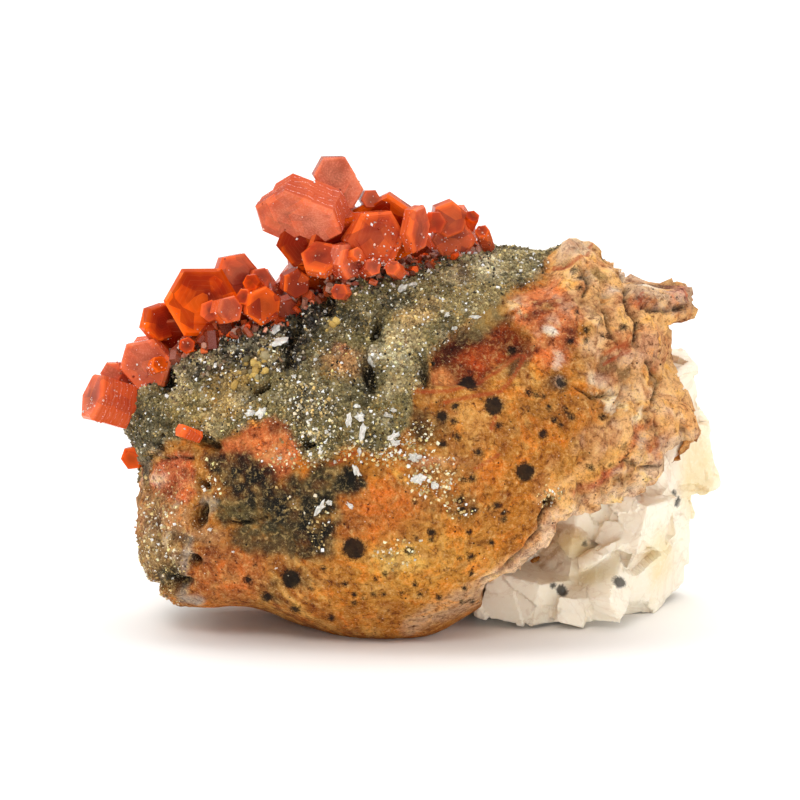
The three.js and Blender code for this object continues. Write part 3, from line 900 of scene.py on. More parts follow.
GROUND = (
    Mark("e6b074", edge=1, ragged=1, outline=(
        (15, 31), (24, 28), (25, 22), (23.5, 14), (20, 10), (14.5, 8.8), (10.8, 9.6), (12, 12),
        (14.5, 13.5), (15.8, 17), (14.8, 20), (14.6, 24), (13.5, 26.5), (12, 27.3), (11.8, 30),
    )),
    Mark("b2652e", (-13.5, 4), (3.4, 2.6), edge=1), Mark("b96a28", (-1.6, 8.8), (3.8, 2.4), edge=1),
    Mark("a2682e", (4.6, 11.4), (3.4, 2), 30, edge=1.6, ragged=.9, strength=.6),
    Mark("dca06a", edge=.3, outline=(
        (11.2, 9.3), (14.8, 8.5), (15, 7), (12.4, 8), (11.4, 5.5), (9.5, 3.9), (6.5, 3.3), (4, .6),
        (.5, -1.2), (0, -.6), (2.5, 1.4), (6, 3.4), (9.6, 6), (10.9, 8),
    )),
    Mark("c39c78", edge=.5, outline=(
        (1, -1), (5, .6), (6.8, 1.8), (7, 3.2), (4.6, 2.6), (2.4, 1.4), (.5, 0),
    )),
    Mark("c9923c", (1.6, 4.6), (5, 3), 20, edge=2, ragged=.9, strength=.6),
    Mark("dcb05e", (-.1, 4.9), (1.9, 1.1), edge=.6, ragged=.6),
    Mark("cf9066", (3, 12.9), (1.7, .35), edge=.3), Mark("cc8e44", (5.6, 16.4), (1.7, 1.2), edge=.5),
    Mark("6b4a26", (1.9, 15.8), (1, 1.5), edge=.6), Mark("6a4522", (9.3, 20.6), (1.3, .5), 40, edge=.4),
    Mark("5f4022", (12.4, 19.2), (.9, .8), edge=.4), Mark("b87a36", (15.4, 17), (1.9, 1.1), edge=.6),
    Mark("dea154", (15.2, 12), (3, .7), 38, edge=.6), Mark("c08234", (13.2, 12.6), (2, .6), 40, edge=.5),
    Mark("7a5224", (10.8, 16.4), (2.4, 1.4), 20, edge=1, strength=.4),
    Mark("efd6b4", (17.4, 17), (2, .45), -35, edge=.15, ragged=.9),
    Mark("dab898", (18.9, 14.4), (.7, .9), ragged=.7),
    Mark(
        "edc08c", path=((12.6, 27), (14.2, 25.8), (15.2, 24), (15.6, 21.5), (15, 19.6)), width=.35, edge=.2,
        ragged=.8,
    ),
    Mark("b2673a", (20.1, 13.8), (.7, 1.1), ragged=.7),
    Mark("e8aa68", (21.9, 16.2), (1.7, 1.6), edge=.6, ragged=.9),
    Mark(
        "b5603c", path=((20, 15.9), (18.6, 15.4), (17.8, 13.8), (16.8, 12.2), (15.2, 11.2), (13.6, 10.5)),
        width=.3,
    ),
    Mark("ead0ae", (15.2, 19.3), (.8, .5), ragged=.8),
    Mark("cf7f48", (16.6, 21.6), (1.1, .5), 28, ragged=.7), Mark("ebcaa6", (13.9, 29.8), (1.8, .7)),
    Mark("ad8a52", (15.1, 27.4), (1.3, .6)), Mark("cdab8c", (20.8, 26.1), (3, 1.1), edge=.4, ragged=.5),
    Mark("a06a4c", (20.2, 25.2), (2.2, .5), ragged=.9),
    Mark("f2e2cc", (19.4, 26.9), (1.3, .3), ragged=.9, edge=.15),
    Mark("b8705c", (22.2, 26.3), (.8, .4), ragged=.9, edge=.2),
    Mark("d39a70", (19.4, 21.9), (1, 1.6), edge=.6), Mark("f0dcc4", (16.8, 26.4), (.5, .35)),
    Mark("c9703f", edge=.5, ragged=.6, outline=(
        (8.4, 26), (10.4, 26.8), (12.3, 27.6), (13.4, 26), (14.4, 24.6), (13.7, 22.5), (13.2, 20.6),
        (11.6, 20.2), (10, 21.4), (10.3, 22.8), (9, 24), (8.6, 25),
    )),
    Mark("7e3c20", (13.3, 22.7), (.5, 1.2), -15, ragged=.6),
    Mark("e9cbb0", (9, 25.1), (.5, .7), edge=.15, ragged=.8),
    Mark("7a3418", (11.3, 24.9), (1.1, .5), 35, edge=.3, ragged=.9),
    Mark("86401c", (10.9, 21.9), (1, .5), 20, edge=.3, ragged=.9),
    Mark("f6efe2", (12, 23.3), (.8, .45), -15, edge=.1, ragged=.5),
    Mark("e0b9a0", (12.4, 20.9), (.35, .9), edge=.15, ragged=.8), RUSTY_HOLLOW,
    Mark("a04318", (6.8, 21.4), (1.8, .9), edge=.5, ragged=.6),
    # painted shade under the crust's overhanging edge, above the rusty hollow
    Mark("3a1206", (5.2, 22.8), (3.2, .9), 34, edge=.6, ragged=.6),
    Mark("d27e42", (3.4, 19.7), (1, .8), edge=.35), CRUST,
    Mark("968558", (5.6, 25.9), (3.6, 2.4), 20, edge=1.2, ragged=.8),
    Mark("5c5236", (-3.6, 23.8), (2.8, 1.2), 20, edge=.9, ragged=.7),
    Mark("4a4530", (-6.4, 22.4), (1.2, 1.6), edge=.8, ragged=.9, strength=.7),
    Mark("56503a", (-2.4, 18.4), (2, .9), edge=.8, ragged=.9, strength=.6),
    Mark("cfae74", (1.6, 24.3), (1.8, .9), 15, edge=.5), Mark("ddcfa8", (7.4, 27.9), (1.4, .9), edge=.5),
    Mark("cdb98c", (4.6, 27.3), (.9, .6), edge=.4), Mark("bfb58e", (-.2, 21.4), (1.1, 1.5), edge=.5),
    Mark("d8cfb8", (-1.9, 20.9), (.5, .5)), Mark("bd8c58", (-4, 20.4), (1.8, 1.1), edge=.6),
    Mark("8a4b26", (-4.2, 21.5), (.6, .45)), Mark("34321f", (-4.5, 24.4), (.6, .4)),
    Mark("5f4227", (5.2, 27.5), (.5, .6)), Mark("57503a", (8.8, 28.5), (.5, .35)),
    Mark("a8996b", (9.4, 28.2), (1.6, 1.4), edge=.6),
    Mark("8c8060", (-6.6, 17.8), (2, 1.5), edge=.8, strength=.6), Mark("6d5a40", (4.8, 29.6), (3, .8), 8),
    Mark("2c1c0d", (-1, 27.7), (5.6, 1), 14, edge=.6, ragged=.7),
    Mark("33271a", (-14, 20.9), (4.4, .8), 24, edge=.5, ragged=.7),
    Mark("1d1811", edge=.5, ragged=.7, outline=(
        (-19, 20.3), (-16, 21.6), (-13.5, 23), (-10, 24), (-7.5, 26.4), (-5.4, 26.4), (-5.8, 24),
        (-7.2, 22), (-7.6, 19.9), (-8.8, 20), (-9.5, 21.2), (-12, 20.8), (-15, 19.5), (-17.2, 18.6),
        (-18.6, 18.5),
    )),
    Mark("5c4a30", (-10.4, 20.2), (1.4, .6)), Mark("a38447", (-13.2, 18.9), (1.8, 1.1), edge=.3),
    Mark("98844c", (-16, 17), (2.9, 1.4), edge=.4), Mark("ab8a4c", (-12.9, 17.2), (1.4, 1), edge=.4),
    Mark("5f573b", (-18.9, 15.6), (1.5, 1.8), edge=.5), Mark("514d3d", (-11.7, 17.7), (.8, .5), edge=.15),
    Mark("cf6f3a", edge=.3, ragged=.35, outline=(
        (-14.4, 14), (-12.2, 15), (-11.2, 15.7), (-9.4, 16.2), (-8.3, 15.4), (-7.6, 14), (-7.7, 12.8),
        (-8.6, 11.6), (-9.6, 11.2), (-10.6, 12), (-12, 13), (-13.6, 13.4),
    )),
    Mark("8d4725", (-9.2, 15.4), (.7, .4)), Mark("e89a66", (-9.3, 13.2), (.9, .6), edge=.5, strength=.6),
    Mark("4c2b1a", (-13.6, 12.9), (1.7, .7), -12, edge=.5),
    Mark("3c3621", edge=.8, ragged=.9, outline=(
        (-14.6, 10), (-11, 10.4), (-9.5, 10.9), (-6.2, 12.8), (-3.6, 12.4), (-3, 10.5), (-4.6, 9.8),
        (-4.9, 7.6), (-5.4, 5.4), (-8, 5.6), (-12, 6.6), (-14.2, 8),
    )),
    Mark("100e0a", (-12.1, 11.6), (2.8, 1.7), -22, edge=.8, ragged=.8),
    Mark("5e5230", (-12, 8.9), (2, .7), edge=.4, ragged=.5),
    Mark("12110b", (-8.7, 9), (2, 1.2), edge=.8, ragged=.9),
    Mark("0f0f0b", (-6.5, 7.1), (1.6, 1.8), edge=.9, ragged=.9),
    Mark("1b190f", (-3.6, 11.4), (1.1, .9), edge=.6, ragged=.8),
    Mark("241c10", (-8.3, 3.5), (1.2, 1), edge=.8, ragged=.7, strength=.7),
    Mark("2c2212", (-9.9, 2.2), (.9, 1), edge=.7, ragged=.7, strength=.6),
    Mark("3a2c16", (2.4, 15.4), (1.3, 1.4), edge=.9, ragged=.9, strength=.6),
    Mark("2b2112", (4.6, 9.2), (1.3, 1.1), edge=.8, ragged=.9, strength=.45),
    Mark("12100b", (-9.2, 10.2), (4.8, 1.5), -16, edge=1.1, ragged=1, strength=.75),
    Mark("5c4728", (-11, 6.3), (2.6, .6), edge=.7, ragged=.6), Mark("b98250", (-14.7, 7), (1.3, .7)),
    Mark("b98658", (-18.4, 8), (2.2, 2.4), edge=.5), Mark("977749", (-18.8, 5), (2.2, 2), edge=.6),
    Mark("cc683d", edge=.3, outline=(
        (-18.9, 12.6), (-17.5, 13.5), (-16, 13.3), (-15.8, 10.4), (-16.4, 9.4), (-18.2, 10), (-19.4, 10.8),
    )),
    Mark("f0c6aa", (-18.7, 11.3), (.6, .45)), Mark("4d4536", (-19.9, 11.8), (.6, 1.2)),
    Mark("b9aa9b", path=((-16.3, 6.6), (-16.5, 4.4), (-16.9, 1.8), (-15.6, 1.6)), width=.3),
    Mark("34301f", (-17.6, 3.6), (1.4, .9), edge=.5), Mark("8e8272", (-14.7, 9.3), (.6, .8), -30, edge=.2),
    Mark(
        "efd0ae",
        path=(
            (6.8, 3.2), (9.4, 4.4), (11, 6), (12.3, 8.1), (14.9, 8.8), (16.4, 9.8), (18.6, 10.7),
            (20.1, 12), (20.8, 13.8), (22.6, 14.8),
        ),
        width=.5, edge=.5, ragged=.9, strength=.8,
    ),
    # the last mark is the painted shade of the hollow above the barite
    Mark("2a2015", (-14, 20.3), (4.8, 1.1), 22, edge=.9, ragged=.9, strength=.7), HOLLOW_SHADE,
)
SPOTS = (  # black spots: u, v, radius
    (5.6, 19.2, .66), (7.4, 17.2, .7), (9.8, 12, .7), (-3.4, 6, .82), (-8.3, 3.5, .7), (-11.7, 3.4, .3),
    (-10.2, 2, .34), (-8, 1.1, .28), (-3.7, 11.7, .45), (9, 21.8, .34), (3.4, 16.4, .42), (11.2, 15, .32),
    (7.8, 15.7, .2), (6.2, 13.6, .25), (4.6, 14.8, .25), (3.5, 14.2, .3), (.9, 5.8, .33), (12.6, 19.1, .36),
    (13.4, 16.4, .24), (12.1, 16.1, .2), (12.6, 15.7, .16), (15.8, 16.3, .2), (14.8, 12.4, .15),
    (17.4, 14.1, .13), (16.4, 12.5, .12), (17.6, 13.4, .14), (10.1, 18.3, .24), (10.7, 18.1, .2),
    (11.3, 18, .14), (13, 17, .16), (11.7, 17.1, .18), (14.6, 23.2, .2), (14.6, 22.4, .15), (16, 22.8, .2),
    (15.7, 23.9, .14), (17.4, 23.3, .18), (13.8, 28, .22), (13.9, 24.6, .18), (13.3, 22.4, .2),
    (5.1, 11.4, .2), (5.7, 11.5, .22), (4.4, 17.2, .25), (4.3, 16, .2), (8.2, 8.3, .2), (8.2, 8.8, .18),
    (7.6, 9.4, .24), (7, 9.2, .12), (4.9, 9, .3), (5.8, 9, .25), (4.8, 9.8, .28), (1.3, 9.6, .14),
    (2.5, 6.7, .15), (2.6, 7.3, .24), (5.4, 7.3, .15), (7.2, 6.5, .16), (1.4, 6.8, .12), (4.8, 5.2, .13),
    (5.6, 5.3, .22), (5.7, 4, .18), (3.2, 2, .2), (5.2, 2.7, .14), (1.3, 3.1, .18), (1.7, 2.2, .12),
    (.3, 2.4, .12), (5, 1.6, .14), (5.8, 1.6, .13), (-4.1, 3.1, .2), (-3.4, 2.3, .18), (-2.7, 2, .12),
    (-3.4, 1.6, .15), (-1.7, 3.5, .14), (-1, 4, .12), (-1.9, 2.3, .14), (-1.1, 2.3, .12), (-6.7, 2.7, .13),
    (-5.2, .3, .2), (-5.8, 4.4, .15), (-11.1, 4.6, .15), (14.3, 27.3, .16), (14.2, 26.6, .13),
)
BARITE_SPOTS = (
    (17.4, 2.9, .42), (13, 2.3, .4), (12.3, 2.7, .22), (22.3, 9.4, .42), (22.2, 10.1, .18),
    (14.7, 6.2, .14),
)


def spot_distance(places: np.ndarray, spots: Sequence[tuple[float, float, float]]) -> np.ndarray:
    """Distance to the nearest spot's margin, negative inside.

    Args:
        places: N x 2 places on the face plane.
        spots: u, v and radius of each.

    Returns:
        N distances in mm, at most 2.
    """
    nearest = np.full(len(places), 2.0)
    for u, v, radius in spots:
        nearest = np.minimum(nearest, np.hypot(places[:, 0] - u, places[:, 1] - v) - radius)
    return nearest


# --------------------------------------------------------------------------------------------- rock
@dataclass(frozen=True)
class Swell:
    """A broad bump or hollow: everything within about `reach` of `at` is moved by up to `push`."""

    at: tuple[float, float, float]
    reach: float
    push: tuple[float, float, float]


@dataclass
class MatrixRock:
    """The rock: an outline seen from the front, swollen forwards and backwards like a pillow.

    Attributes:
        cells: grid cells along a side of each of the six patches.
        middle: x and z of the pillow's middle, mm.
        rim_y: where the outline lies, mm.
        front_depth: how far the front stands proud of the rim, mm.
        back_depth: how far the back does, mm.
        fullness: exponent of the pillow's section; 2 is an ellipse.
        detail: shares of the way out between which the outline's own detail sets in.
        spread: radians over which the outline is averaged in the middle of the faces.
        nub_heights: lowest and highest z of the square nub at the upper right, mm.
        nub_y: its middle from front to back, mm.
        nub_half: half its thickness from front to back, mm.
        nub_end: x of its end, mm.
        nub_root: x where it starts, mm.
        nub_rim: heights, and x of the outline at each of them, mm.
        growth: middle of the growth bands on the face plane, mm.
        growth_tall: how much taller than wide the bands are.
        ledge_start: distance from that middle at which the ledges of the rough side start, mm.
        ledge: width of a ledge, mm.
    """

    cells: int = 129
    middle: tuple[float, float] = (1.0, 13.4)
    rim_y: float = 1.5
    front_depth: float = 12.5
    back_depth: float = 12.0
    fullness: float = 2.4
    detail: tuple[float, float] = (0.7, 0.95)
    spread: float = 0.45
    nub_heights: tuple[float, float] = (23.9, 26.0)
    nub_y: float = 3.2
    nub_half: float = 2.8
    nub_end: float = 23.0
    nub_root: float = 16.5
    nub_rim: tuple[tuple[float, ...], ...] = ((24.0, 25.2, 26.2), (21.1, 20.4, 18.6))
    growth: tuple[float, float] = (3.0, 18.0)
    growth_tall: float = 1.4
    ledge_start: float = 12.2
    ledge: float = 1.65
    outline: tuple[tuple[float, float], ...] = (
        (23.1, 14.2), (23.3, 16), (23, 17.2), (21.9, 18.8), (21.3, 20.6), (21.2, 22.4), (21.1, 24),
        (20.4, 25.2), (18.6, 26.2), (16.2, 27.5), (13.8, 28.5), (12, 28), (10.2, 28.4), (8.2, 28.8),
        (5.5, 28.8), (2.5, 28.2), (-1.5, 27), (-5, 25.8), (-8, 24.4), (-10, 23.2), (-13.3, 22.2),
        (-16.3, 21.2), (-19.2, 20), (-21, 18.4), (-21.5, 16.4), (-20.5, 14.3), (-20, 12), (-20.3, 10),
        (-20.5, 7.5), (-20.1, 5.2), (-19.4, 3.6), (-18.3, 2.4), (-16.6, 1.8), (-13.3, 1.8), (-10.9, 1.4),
        (-7.8, .2), (-5.4, -.5), (-3, -.9), (0, -.9), (2.5, -.6), (4.9, .6), (6.6, 1.7), (8.2, 3),
        (10.5, 4.8), (13, 6.6), (15.6, 8.2), (18.8, 9.7), (21.5, 12.1),
    )
    swells: tuple[Swell, ...] = (
        Swell((5, -11, 10), 9, (0, -1.2, 0)),  # the smooth lower face
        Swell((9.5, -8, 22.5), 4.2, (0, 1.3, 0)),  # the rusty hollow below the crust
        Swell((-4, -9, 20), 6, (0, -0.8, 0.4)),  # the crust's brow
        Swell((-17, -6, 8), 5, (-0.3, -1.4, 0)),  # the knob at the left end
        Swell((14, -7, 27), 3.5, (0, -1.6, 0.2)),  # the knob at the top right
        Swell((14.2, 2.5, 29), 3.2, (0, -0.4, 1.3)),  # its top
        Swell((24, 1, 19.5), 2.2, (-0.4, 0, 0)),  # the notch at the right end
        Swell((-21.6, -3, 13.3), 2, (0.9, 0.6, 0)),  # the seat of the lone crystal
        Swell((-4, -2.5, 25.6), 4, (0, -0.6, 2.4)),  # the bed of the crest
        Swell((-13, -2.5, 21.5), 4.5, (0, -0.6, 1.5)),  # the bed of the shoulder
    )

    def outline_radius(self, angle: np.ndarray) -> np.ndarray:
        """Distance from the middle to the outline: cubic Hermite between the corners, closed.

        Args:
            angle: radians from +X, anticlockwise, in (-pi, pi].

        Returns:
            Radii in mm.
        """
        corners = np.array(self.outline) - self.middle
        angles = np.arctan2(corners[:, 1], corners[:, 0])
        order = np.argsort(angles)
        known = np.concatenate([angles[order] + k * 2 * math.pi for k in (-1, 0, 1)])
        radii = np.tile(np.hypot(corners[:, 0], corners[:, 1])[order], 3)
        i = np.searchsorted(known, angle, side="right")
        step = known[i] - known[i - 1]
        t = (angle - known[i - 1]) / step
        slope_in = (radii[i] - radii[i - 2]) / (known[i] - known[i - 2]) * step
        slope_out = (radii[i + 1] - radii[i - 1]) / (known[i + 1] - known[i - 1]) * step
        return (
            (2 * t**3 - 3 * t**2 + 1) * radii[i - 1] + (t**3 - 2 * t**2 + t) * slope_in
            + (3 * t**2 - 2 * t**3) * radii[i] + (t**3 - t**2) * slope_out
        )

    def directions(self) -> tuple[np.ndarray, np.ndarray]:
        """A ball of directions as six square patches whose cells span equal angles, welded.

        Returns:
            N x 3 unit vectors and F x 4 corner numbers.
        """
        step = np.tan(math.pi / 4 * np.linspace(-1, 1, self.cells + 1))
        across, up = np.meshgrid(step, step, indexing="ij")
        axes = np.eye(3)
        points = []
        for axis in range(3):
            for sign in (1, -1):
                out, right = sign * axes[axis], axes[(axis + 1) % 3]
                top = np.cross(out, right)
                points.append(across[..., None] * right + up[..., None] * top + out)
        rays = np.concatenate([patch.reshape(-1, 3) for patch in points])
        rays /= np.linalg.norm(rays, axis=1, keepdims=True)
        _, first, number = np.unique(
            np.round(rays * 1e6).astype(np.int64), axis=0, return_index=True, return_inverse=True
        )
        side = self.cells + 1
        i, j = np.meshgrid(np.arange(self.cells), np.arange(self.cells), indexing="ij")
        corner = (i * side + j).ravel()
        patch = np.stack([corner, corner + side, corner + side + 1, corner + 1], axis=1)
        quads = np.concatenate([patch + k * side * side for k in range(6)])
        return rays[first], number.ravel()[quads]

    def surface(self, rays: np.ndarray) -> np.ndarray:
        """The pillow: x and z follow the outline scaled by the ray's share outwards; y is a superellipse.

        The swells move it, and the points level with the nub are drawn out to the nub's square end.

        Args:
            rays: N x 3 unit vectors.

        Returns:
            N x 3 places in mm.
        """
        out = np.minimum(1.0, np.hypot(rays[:, 0], rays[:, 2]))
        angle = np.arctan2(rays[:, 2], rays[:, 0])
        shares = np.linspace(-1, 1, 5) * self.spread
        wrapped = [np.arctan2(np.sin(angle + share), np.cos(angle + share)) for share in shares]
        broad = np.mean([self.outline_radius(turned_angle) for turned_angle in wrapped], axis=0)
        detail = smoothstep(*self.detail, out)
        radius = broad * (1 - detail) + self.outline_radius(angle) * detail
        depth = np.where(rays[:, 1] < 0, -self.front_depth, self.back_depth)
        points = np.stack([
            self.middle[0] + radius * out * np.cos(angle),
            self.rim_y + depth * (1 - out**self.fullness) ** (1 / self.fullness),
            self.middle[1] + radius * out * np.sin(angle),
        ], axis=1)
        points[:, 1] += LEAN * (points[:, 2] - LEAN_FROM)
        start = points.copy()
        for swell in self.swells:
            weight = np.exp(-((start - swell.at) ** 2).sum(axis=1) / swell.reach**2)
            points += weight[:, None] * np.array(swell.push)
        low, high = self.nub_heights
        level = smoothstep(low - 0.5, low + 0.2, points[:, 2])
        level *= smoothstep(high + 0.4, high - 0.2, points[:, 2])
        depth = np.exp(-(((points[:, 1] - self.nub_y) / self.nub_half) ** 4))
        rim = np.interp(points[:, 2], *self.nub_rim)
        share = np.clip((points[:, 0] - self.nub_root) / (rim - self.nub_root), 0, 1)
        points[:, 0] += level * depth * share * (self.nub_end - rim)
        return points

    def marked_places(self, points: np.ndarray) -> tuple[np.ndarray, np.ndarray]:
        """Places on the face plane, bent by broad noise behind the rim so that the back differs.

        Args:
            points: N x 3 places on the rock.

        Returns:
            N x 2 places, and N numbers that are 1 on the front and 0 behind.
        """
        front = smoothstep(3.0, -1.0, points[:, 1] - LEAN * (points[:, 2] - LEAN_FROM))
        bend = np.stack([noise(points, 7, 11, 2), noise(points, 7, 12, 2)], axis=1)
        return face_plane(points) + bend * ((1 - front) * 5.0)[:, None], front

    def relief(self, points: np.ndarray, places: np.ndarray, front: np.ndarray) -> dict[str, np.ndarray]:
        """Height of the surface detail over the pillow, and the masks that it comes from.

        The crust stands proud with a cellular skin; pits, cracks and hollows go in; the face has low
        growth bands, ellipses round `growth`; the right side is rough, with ledges that rise outwards.

        Args:
            points: N x 3 places.
            places: N x 2 places on the face plane.
            front: N numbers, 1 on the front.

        Returns:
            Arrays by name: height, crust, pit, band, knob, right, slope and valley, the last being the share
                of painted shade in the crevices of the rough side and the knob.
        """
        wander = noise(points, 1.1, 21, 3)
        crust = CRUST.cover(places, wander)
        near, second, _, _ = cells(points, 0.62, 31)
        knobs = np.clip(0.62 - near, 0, 1) * 0.34 + np.clip(second - near, 0, 0.3) * 0.3
        lumps = noise(points, 3.2, 41, 4) * 0.28
        pit = np.max([
            Mark(at=at, reach=reach, turn=turn, edge=0.22, ragged=0.2).cover(places, wander)
            for at, reach, turn in PITS
        ], axis=0) * front
        crack = np.min([path_distance(places, path) for path in CRACKS], axis=0) + 0.1 * wander
        crack = smoothstep(0.22, 0.02, crack) * front
        u, v = self.growth
        ring = np.hypot(places[:, 0] - u, (places[:, 1] - v) / self.growth_tall)
        ring += 0.9 * noise(points, 5, 51, 3)
        band = np.sin(ring * 5.2 + lumps * 9.0) * 0.5 + np.sin(ring * 12.0 + lumps * 16.0) * 0.2
        far_right = smoothstep(10.5, 13.5, ring) * (1 - crust) * smoothstep(5.0, 9.0, places[:, 0])
        shelf = ring + 0.8 * noise(points, 2.4, 55, 4)
        tile = (shelf - self.ledge_start) / self.ledge
        tile -= np.floor(tile)
        ledges = tile * smoothstep(1.0, 0.86, tile) * 0.75
        knob = KNOB.cover(places, wander)
        big_near, _, _, _ = cells(points, 1.7, 61)
        ridges = 1 - np.abs(noise(points, 2.0, 71, 4))
        face = noise(points, 4, 81, 4) * 0.12 + band * 0.02
        height = crust * (0.42 + knobs + lumps * 0.8) + (1 - crust) * face
        height += far_right * ((ridges - 0.75) * 0.8 + noise(points, 0.9, 73, 3) * 0.16 + ledges - 0.1)
        height += knob * ((0.6 - big_near) * 0.75 + knobs * 0.8)
        height -= pit * 1.3 + crack * 0.55
        height -= RUSTY_HOLLOW.cover(places, wander) * 0.8 * front
        height += (1 - front) * noise(points, 6, 91, 4) * 0.7
        # Painted shade: the crevices of the rough side and the knob, and the foot of each ledge, for
        # darkening the ground colour.
        valley_shade = far_right * smoothstep(0.72, 0.3, ridges) + knob * smoothstep(0.55, 0.85, big_near)
        valley_shade += far_right * smoothstep(0.86, 1.0, tile) * 0.5
        return {
            "height": height,
            "crust": crust,
            "pit": np.maximum(pit, crack),
            "band": ring,
            "knob": knob,
            "right": far_right,
            "slope": SLOPE.cover(places, wander) * front,
            "valley_shade": np.clip(valley_shade, 0, 1),
        }

    def shell(self) -> Shell:
        """The finished shape with its painted ground, darkened with painted shade in pits, cracks and
        crevices, and the numbers that the finish reads.

        Returns:
            The shell.
        """
        rays, quads = self.directions()
        shell = Shell(self.surface(rays), quads)
        points = shell.points.copy()
        places, front = self.marked_places(points)
        relief = self.relief(points, places, front)
        shell.points = points + shell.normals() * relief["height"][:, None]
        broken = UNDERCUT.cover(places, noise(points, 1.1, 21, 3)) * front
        shell.points[:, 1] += (self.rim_y + 2.5 - shell.points[:, 1]) * broken
        shell.points[:, 2] = np.maximum(shell.points[:, 2], FLOOR)
        wander = noise(points, 0.9, 101, 3)
        ground = np.tile(np.array(linear("b36f22")), (len(points), 1))
        swirl = noise(points, 3.2, 111, 5)
        streak = np.sin(relief["band"] * 4.1 + swirl * 3.6)
        thin = np.sin(relief["band"] * 9.0 + swirl * 8.0)
        much = smoothstep(-0.4, 0.7, noise(points, 4.5, 113, 2))
        for amount, colour, weight in (
            (streak, "dba24a", 0.7), (-streak, "93501e", 0.62), (thin, "e6b668", 0.5),
            (-thin, "7e3f18", 0.48),
        ):
            ground = painted(ground, colour, smoothstep(0.15, 0.85, amount) * much * weight)
        for mark in GROUND:
            ground = painted(ground, mark.colour, mark.cover(places, wander))
        cloud = noise(points, 2.4, 131, 5)
        for amount, colour, mask in (
            (cloud, "ccb684", relief["crust"] * 0.7), (-cloud, "2a2617", relief["crust"] * 0.8),
            (noise(points, 0.75, 133, 3), "dccfa6", relief["crust"] * 0.4),
            (noise(points, 0.6, 135, 3), "262214", relief["crust"] * 0.65),
            (noise(points, 0.8, 157, 4), "74431a", (1 - relief["crust"]) * 0.42),
            (noise(points, 0.9, 159, 4), "e4b468", (1 - relief["crust"]) * 0.3),
            (noise(points, 1.3, 137, 4), "f0d2b4", relief["right"] * 0.6),
            (noise(points, 1.6, 139, 4), "ae5a34", relief["right"] * 0.55),
            (noise(points, 1.1, 141, 4), "f2d0ae", relief["slope"] * 0.7),
            (noise(points, 1.4, 143, 4), "7a2c14", relief["slope"] * 0.6),
            (noise(points, 1.0, 149, 3), "e6cfae", relief["knob"] * 0.7),
            (noise(points, 1.2, 151, 3), "5c4c32", relief["knob"] * 0.7),
        ):
            ground = painted(ground, colour, smoothstep(0.1, 0.8, amount) * mask)
        # Painted shade: the ground is darkened in the pits and cracks and in the crevices of the rough side
        # and the knob.
        dark = 1.0 - (1.0 - 0.9 * relief["pit"]) * (1.0 - 0.6 * relief["valley_shade"])
        shell.colours["ground"] = ground * (1.0 - dark[:, None] * np.array([1, 1, 1, 0]))
        vein = np.min([path_distance(places, path) for path in VEINS], axis=0)
        shell.numbers = {
            "spot": np.where(front > 0.5, spot_distance(places, SPOTS), 2.0),
            "vein": np.where(front > 0.5, vein, 2.0),
            "rough": np.clip(relief["crust"] + relief["knob"] * 0.7, 0, 1),
            "specks": np.clip(0.13 + 0.1 * noise(points, 3, 121, 2), 0, 1) * (1 - 0.6 * relief["crust"]),
            "crumbs": np.clip(0.012 + 0.06 * np.maximum(relief["crust"], relief["knob"]), 0, 1),
            "crust": relief["crust"],
            "pit": relief["pit"],
        }
        return shell

    def build(self, shell: Shell) -> bpy.types.Object:
        """Makes and dresses the rock.

        Args:
            shell: its shape, from `shell`.

        Returns:
            The piece.
        """
        piece = shell.build("rock", smooth=True)
        fitted(piece, RockFinish().build(), ["matrix_rock"])
        return piece


# ------------------------------------------------------------------------------------------- grains
class GrainShape(Enum):
    """Shapes of the small things that coat the rock."""

    SHARD = "eight-faced crystal"
    PRISM = "six-sided column"
    BEAD = "round bead"


def grain_template(shape: GrainShape) -> tuple[np.ndarray, np.ndarray]:
    """One grain of unit half size standing along +Z.

    A shard is an octahedron, a prism two hexagons one above the other, and a bead an icosphere.

    Args:
        shape: which grain.

    Returns:
        V x 3 places and F x 3 corner numbers.
    """
    mesh = bmesh.new()
    if shape is GrainShape.PRISM:
        bmesh.ops.create_cone(mesh, cap_ends=True, segments=6, radius1=1, radius2=0.94, depth=2)
    elif shape is GrainShape.BEAD:
        bmesh.ops.create_icosphere(mesh, subdivisions=1, radius=1)
    else:
        bmesh.ops.create_cone(mesh, cap_ends=False, segments=4, radius1=1, radius2=0, depth=1)
        tip = mesh.verts.new((0, 0, -1.2))
        rim = sorted((v for v in mesh.verts if v is not tip and v.co.z < 0),
                     key=lambda v: math.atan2(v.co.y, v.co.x))
        for k in range(4):
            mesh.faces.new((rim[k], tip, rim[(k + 1) % 4]))
        bmesh.ops.remove_doubles(mesh, verts=mesh.verts, dist=1e-5)
    bmesh.ops.triangulate(mesh, faces=mesh.faces)
    bmesh.ops.recalc_face_normals(mesh, faces=mesh.faces)
    mesh.verts.index_update()
    points = np.array([v.co for v in mesh.verts])
    faces = np.array([[v.index for v in f.verts] for f in mesh.faces])
    mesh.free()
    return points, faces


